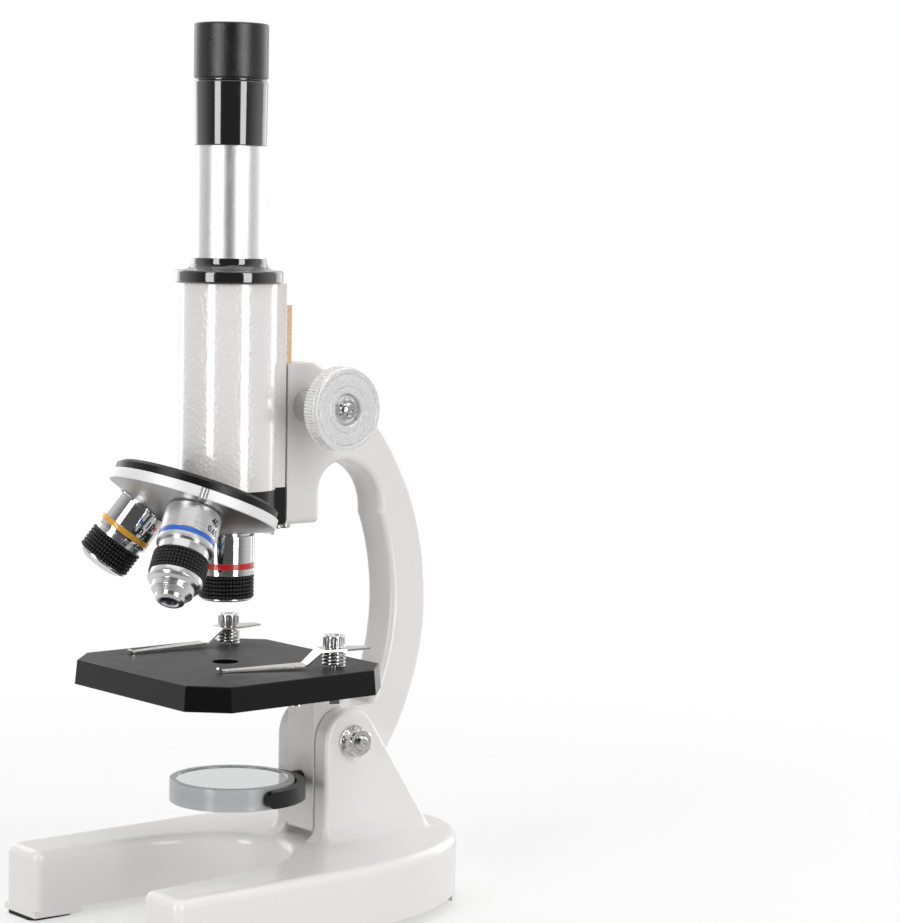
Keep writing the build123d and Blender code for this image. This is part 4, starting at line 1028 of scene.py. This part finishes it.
def build_studio():
    """Camera, softboxes, white surround and the pale floor."""
    want = sizes("studio_sizes")
    scene = bpy.context.scene
    scene.view_settings.view_transform = "Standard"
    turn, dip, roll = want.heading, want.dip, want.roll
    back = Vector((math.sin(turn) * math.cos(dip), -math.cos(turn) * math.cos(dip), math.sin(dip)))
    right = Vector((math.cos(turn), math.sin(turn), 0))
    up = back.cross(right)
    side = right * math.cos(roll) + up * math.sin(roll)
    top = up * math.cos(roll) - right * math.sin(roll)
    camera = bpy.data.cameras.new("camera")
    camera.sensor_width = 36.0
    camera.lens = want.lens
    camera.clip_start = 0.05
    eye = bpy.data.objects.new("camera", camera)
    scene.collection.objects.link(eye)
    place = Matrix((side, top, back)).transposed().to_4x4()
    place.translation = Vector(want.camera)
    eye.matrix_world = place
    scene.camera = eye

    flat_back = Vector((math.sin(turn), -math.cos(turn)))
    flat_right = Vector((math.cos(turn), math.sin(turn)))

    def bearing(degrees):
        angle = math.radians(degrees)
        return flat_back * math.cos(angle) + flat_right * math.sin(angle)

    softbox("softbox_left", bearing(-37), 0.42, 0.40, 1.3, 1.25, 8.3)
    softbox("softbox_right", bearing(43), 0.42, 0.40, 1.3, 1.25, 8.3)
    softbox("softbox_rear_left", bearing(-140), 0.5, 0.9, 1.2, 1.5, 4)
    softbox("softbox_rear_right", bearing(140), 0.5, 0.9, 1.2, 1.5, 4)
    softbox("softbox_top", bearing(60), 1.5, 1.6, 1.6, 0.15, 6)

    world = bpy.data.worlds.new("studio")
    world.use_nodes = True
    scene.world = world
    tree = world.node_tree
    sky = tree.nodes["Background"]
    way = node(tree, "ShaderNodeTexCoord").outputs["Generated"]
    ahead = node(tree, "ShaderNodeVectorMath",
                 {0: way, 1: (flat_back.x, flat_back.y, 0.0)}, operation="DOT_PRODUCT")
    shade = spread(tree, ahead.outputs["Value"], -0.35, 0.8, 0.75, 0.10)
    seen = node(tree, "ShaderNodeLightPath").outputs["Is Camera Ray"]
    tree.links.new(blend_colours(tree, seen, shade, (1.0, 1.0, 1.0, 1.0)), sky.inputs["Color"])

    mesh = bmesh.new()
    middle = Vector((CAD_BOX[0][0] + CAD_BOX[1][0], CAD_BOX[0][1] + CAD_BOX[1][1], 0)) / 2
    bmesh.ops.create_circle(mesh, cap_ends=True, segments=96, radius=2.2)
    data = bpy.data.meshes.new("floor")
    mesh.to_mesh(data)
    mesh.free()
    floor = bpy.data.objects.new("floor", data)
    floor.location = (middle.x, middle.y, CAD_BOX[0][2] - 0.0001)
    scene.collection.objects.link(floor)
    material = bpy.data.materials.new("studio_floor")
    material.use_nodes = True
    tree = material.node_tree
    shader = tree.nodes["Principled BSDF"]
    shader.inputs["Roughness"].default_value = 0.6
    where = node(tree, "ShaderNodeTexCoord").outputs["Object"]
    mottle = noise(tree, where, 0.25, 3.0)
    tree.links.new(blend_colours(tree, mottle, rgba(want.floor, 0.985), rgba(want.floor, 1.01)),
                   shader.inputs["Base Color"])
    reach = node(tree, "ShaderNodeVectorMath", {0: where}, operation="LENGTH").outputs["Value"]
    tree.links.new(spread(tree, reach, 0.12, 0.6, 0.5, 0.0), shader.inputs["Alpha"])
    data.materials.append(material)


# ---------------------------------------------------------------- operators, panel and registration
class MICROSCOPE_OT_castings(bpy.types.Operator):
    """Enamel the base, arm and tube, and finish the plain parts"""
    bl_idname = "microscope.castings"
    bl_label = "Castings and Plain Parts"

    def execute(self, context):
        build_castings()
        return {"FINISHED"}


class MICROSCOPE_OT_optics(bpy.types.Operator):
    """Turn the collar, draw tube, eyepiece and eyecup"""
    bl_idname = "microscope.optics"
    bl_label = "Tube and Eyepiece"

    def execute(self, context):
        build_optics()
        return {"FINISHED"}


class MICROSCOPE_OT_knobs(bpy.types.Operator):
    """Flute the focus knobs and fit their nuts"""
    bl_idname = "microscope.knobs"
    bl_label = "Focus Knobs"

    def execute(self, context):
        build_knobs()
        return {"FINISHED"}


class MICROSCOPE_OT_pivot(bpy.types.Operator):
    """Fit the bolt, nut and washers of the inclination joint"""
    bl_idname = "microscope.pivot"
    bl_label = "Inclination Pivot"

    def execute(self, context):
        build_pivot()
        return {"FINISHED"}


class MICROSCOPE_OT_nosepiece(bpy.types.Operator):
    """Turn the turret and the three objectives"""
    bl_idname = "microscope.nosepiece"
    bl_label = "Nosepiece and Objectives"

    def execute(self, context):
        build_nosepiece()
        return {"FINISHED"}


class MICROSCOPE_OT_clips(bpy.types.Operator):
    """Turn the fluted heads of the clip posts"""
    bl_idname = "microscope.clips"
    bl_label = "Stage Clips"

    def execute(self, context):
        build_clips()
        return {"FINISHED"}


class MICROSCOPE_OT_studio(bpy.types.Operator):
    """Set up the camera, the lights and the floor"""
    bl_idname = "microscope.studio"
    bl_label = "Studio"

    def execute(self, context):
        build_studio()
        return {"FINISHED"}


STEPS = (MICROSCOPE_OT_castings, MICROSCOPE_OT_optics, MICROSCOPE_OT_knobs, MICROSCOPE_OT_pivot,
         MICROSCOPE_OT_nosepiece, MICROSCOPE_OT_clips, MICROSCOPE_OT_studio)
GROUPS = {"finish_colours": FinishColours, "optics_sizes": OpticsSizes, "knob_sizes": KnobSizes,
          "nosepiece_sizes": NosepieceSizes, "stage_sizes": StageSizes,
          "studio_sizes": StudioSizes}


class MICROSCOPE_PT_build(bpy.types.Panel):
    """Sizes, colours and build steps"""
    bl_idname = "MICROSCOPE_PT_build"
    bl_label = "Student Microscope"
    bl_space_type = "VIEW_3D"
    bl_region_type = "UI"
    bl_category = "Microscope"

    def draw(self, context):
        for step in STEPS:
            self.layout.operator(step.bl_idname)
        for name, group in GROUPS.items():
            box = self.layout.box()
            for label in group.__annotations__:
                box.prop(getattr(context.scene, name), label)


CLASSES = (*GROUPS.values(), *STEPS, MICROSCOPE_PT_build)


def register():
    for item in CLASSES:
        bpy.utils.register_class(item)
    for name, group in GROUPS.items():
        setattr(bpy.types.Scene, name, bpy.props.PointerProperty(type=group))


def unregister():
    for name in GROUPS:
        delattr(bpy.types.Scene, name)
    for item in reversed(CLASSES):
        bpy.utils.unregister_class(item)


def main():
    register()
    for step in STEPS:
        area, call = step.bl_idname.split(".")
        getattr(getattr(bpy.ops, area), call)()


if __name__ == "__main__":
    main()
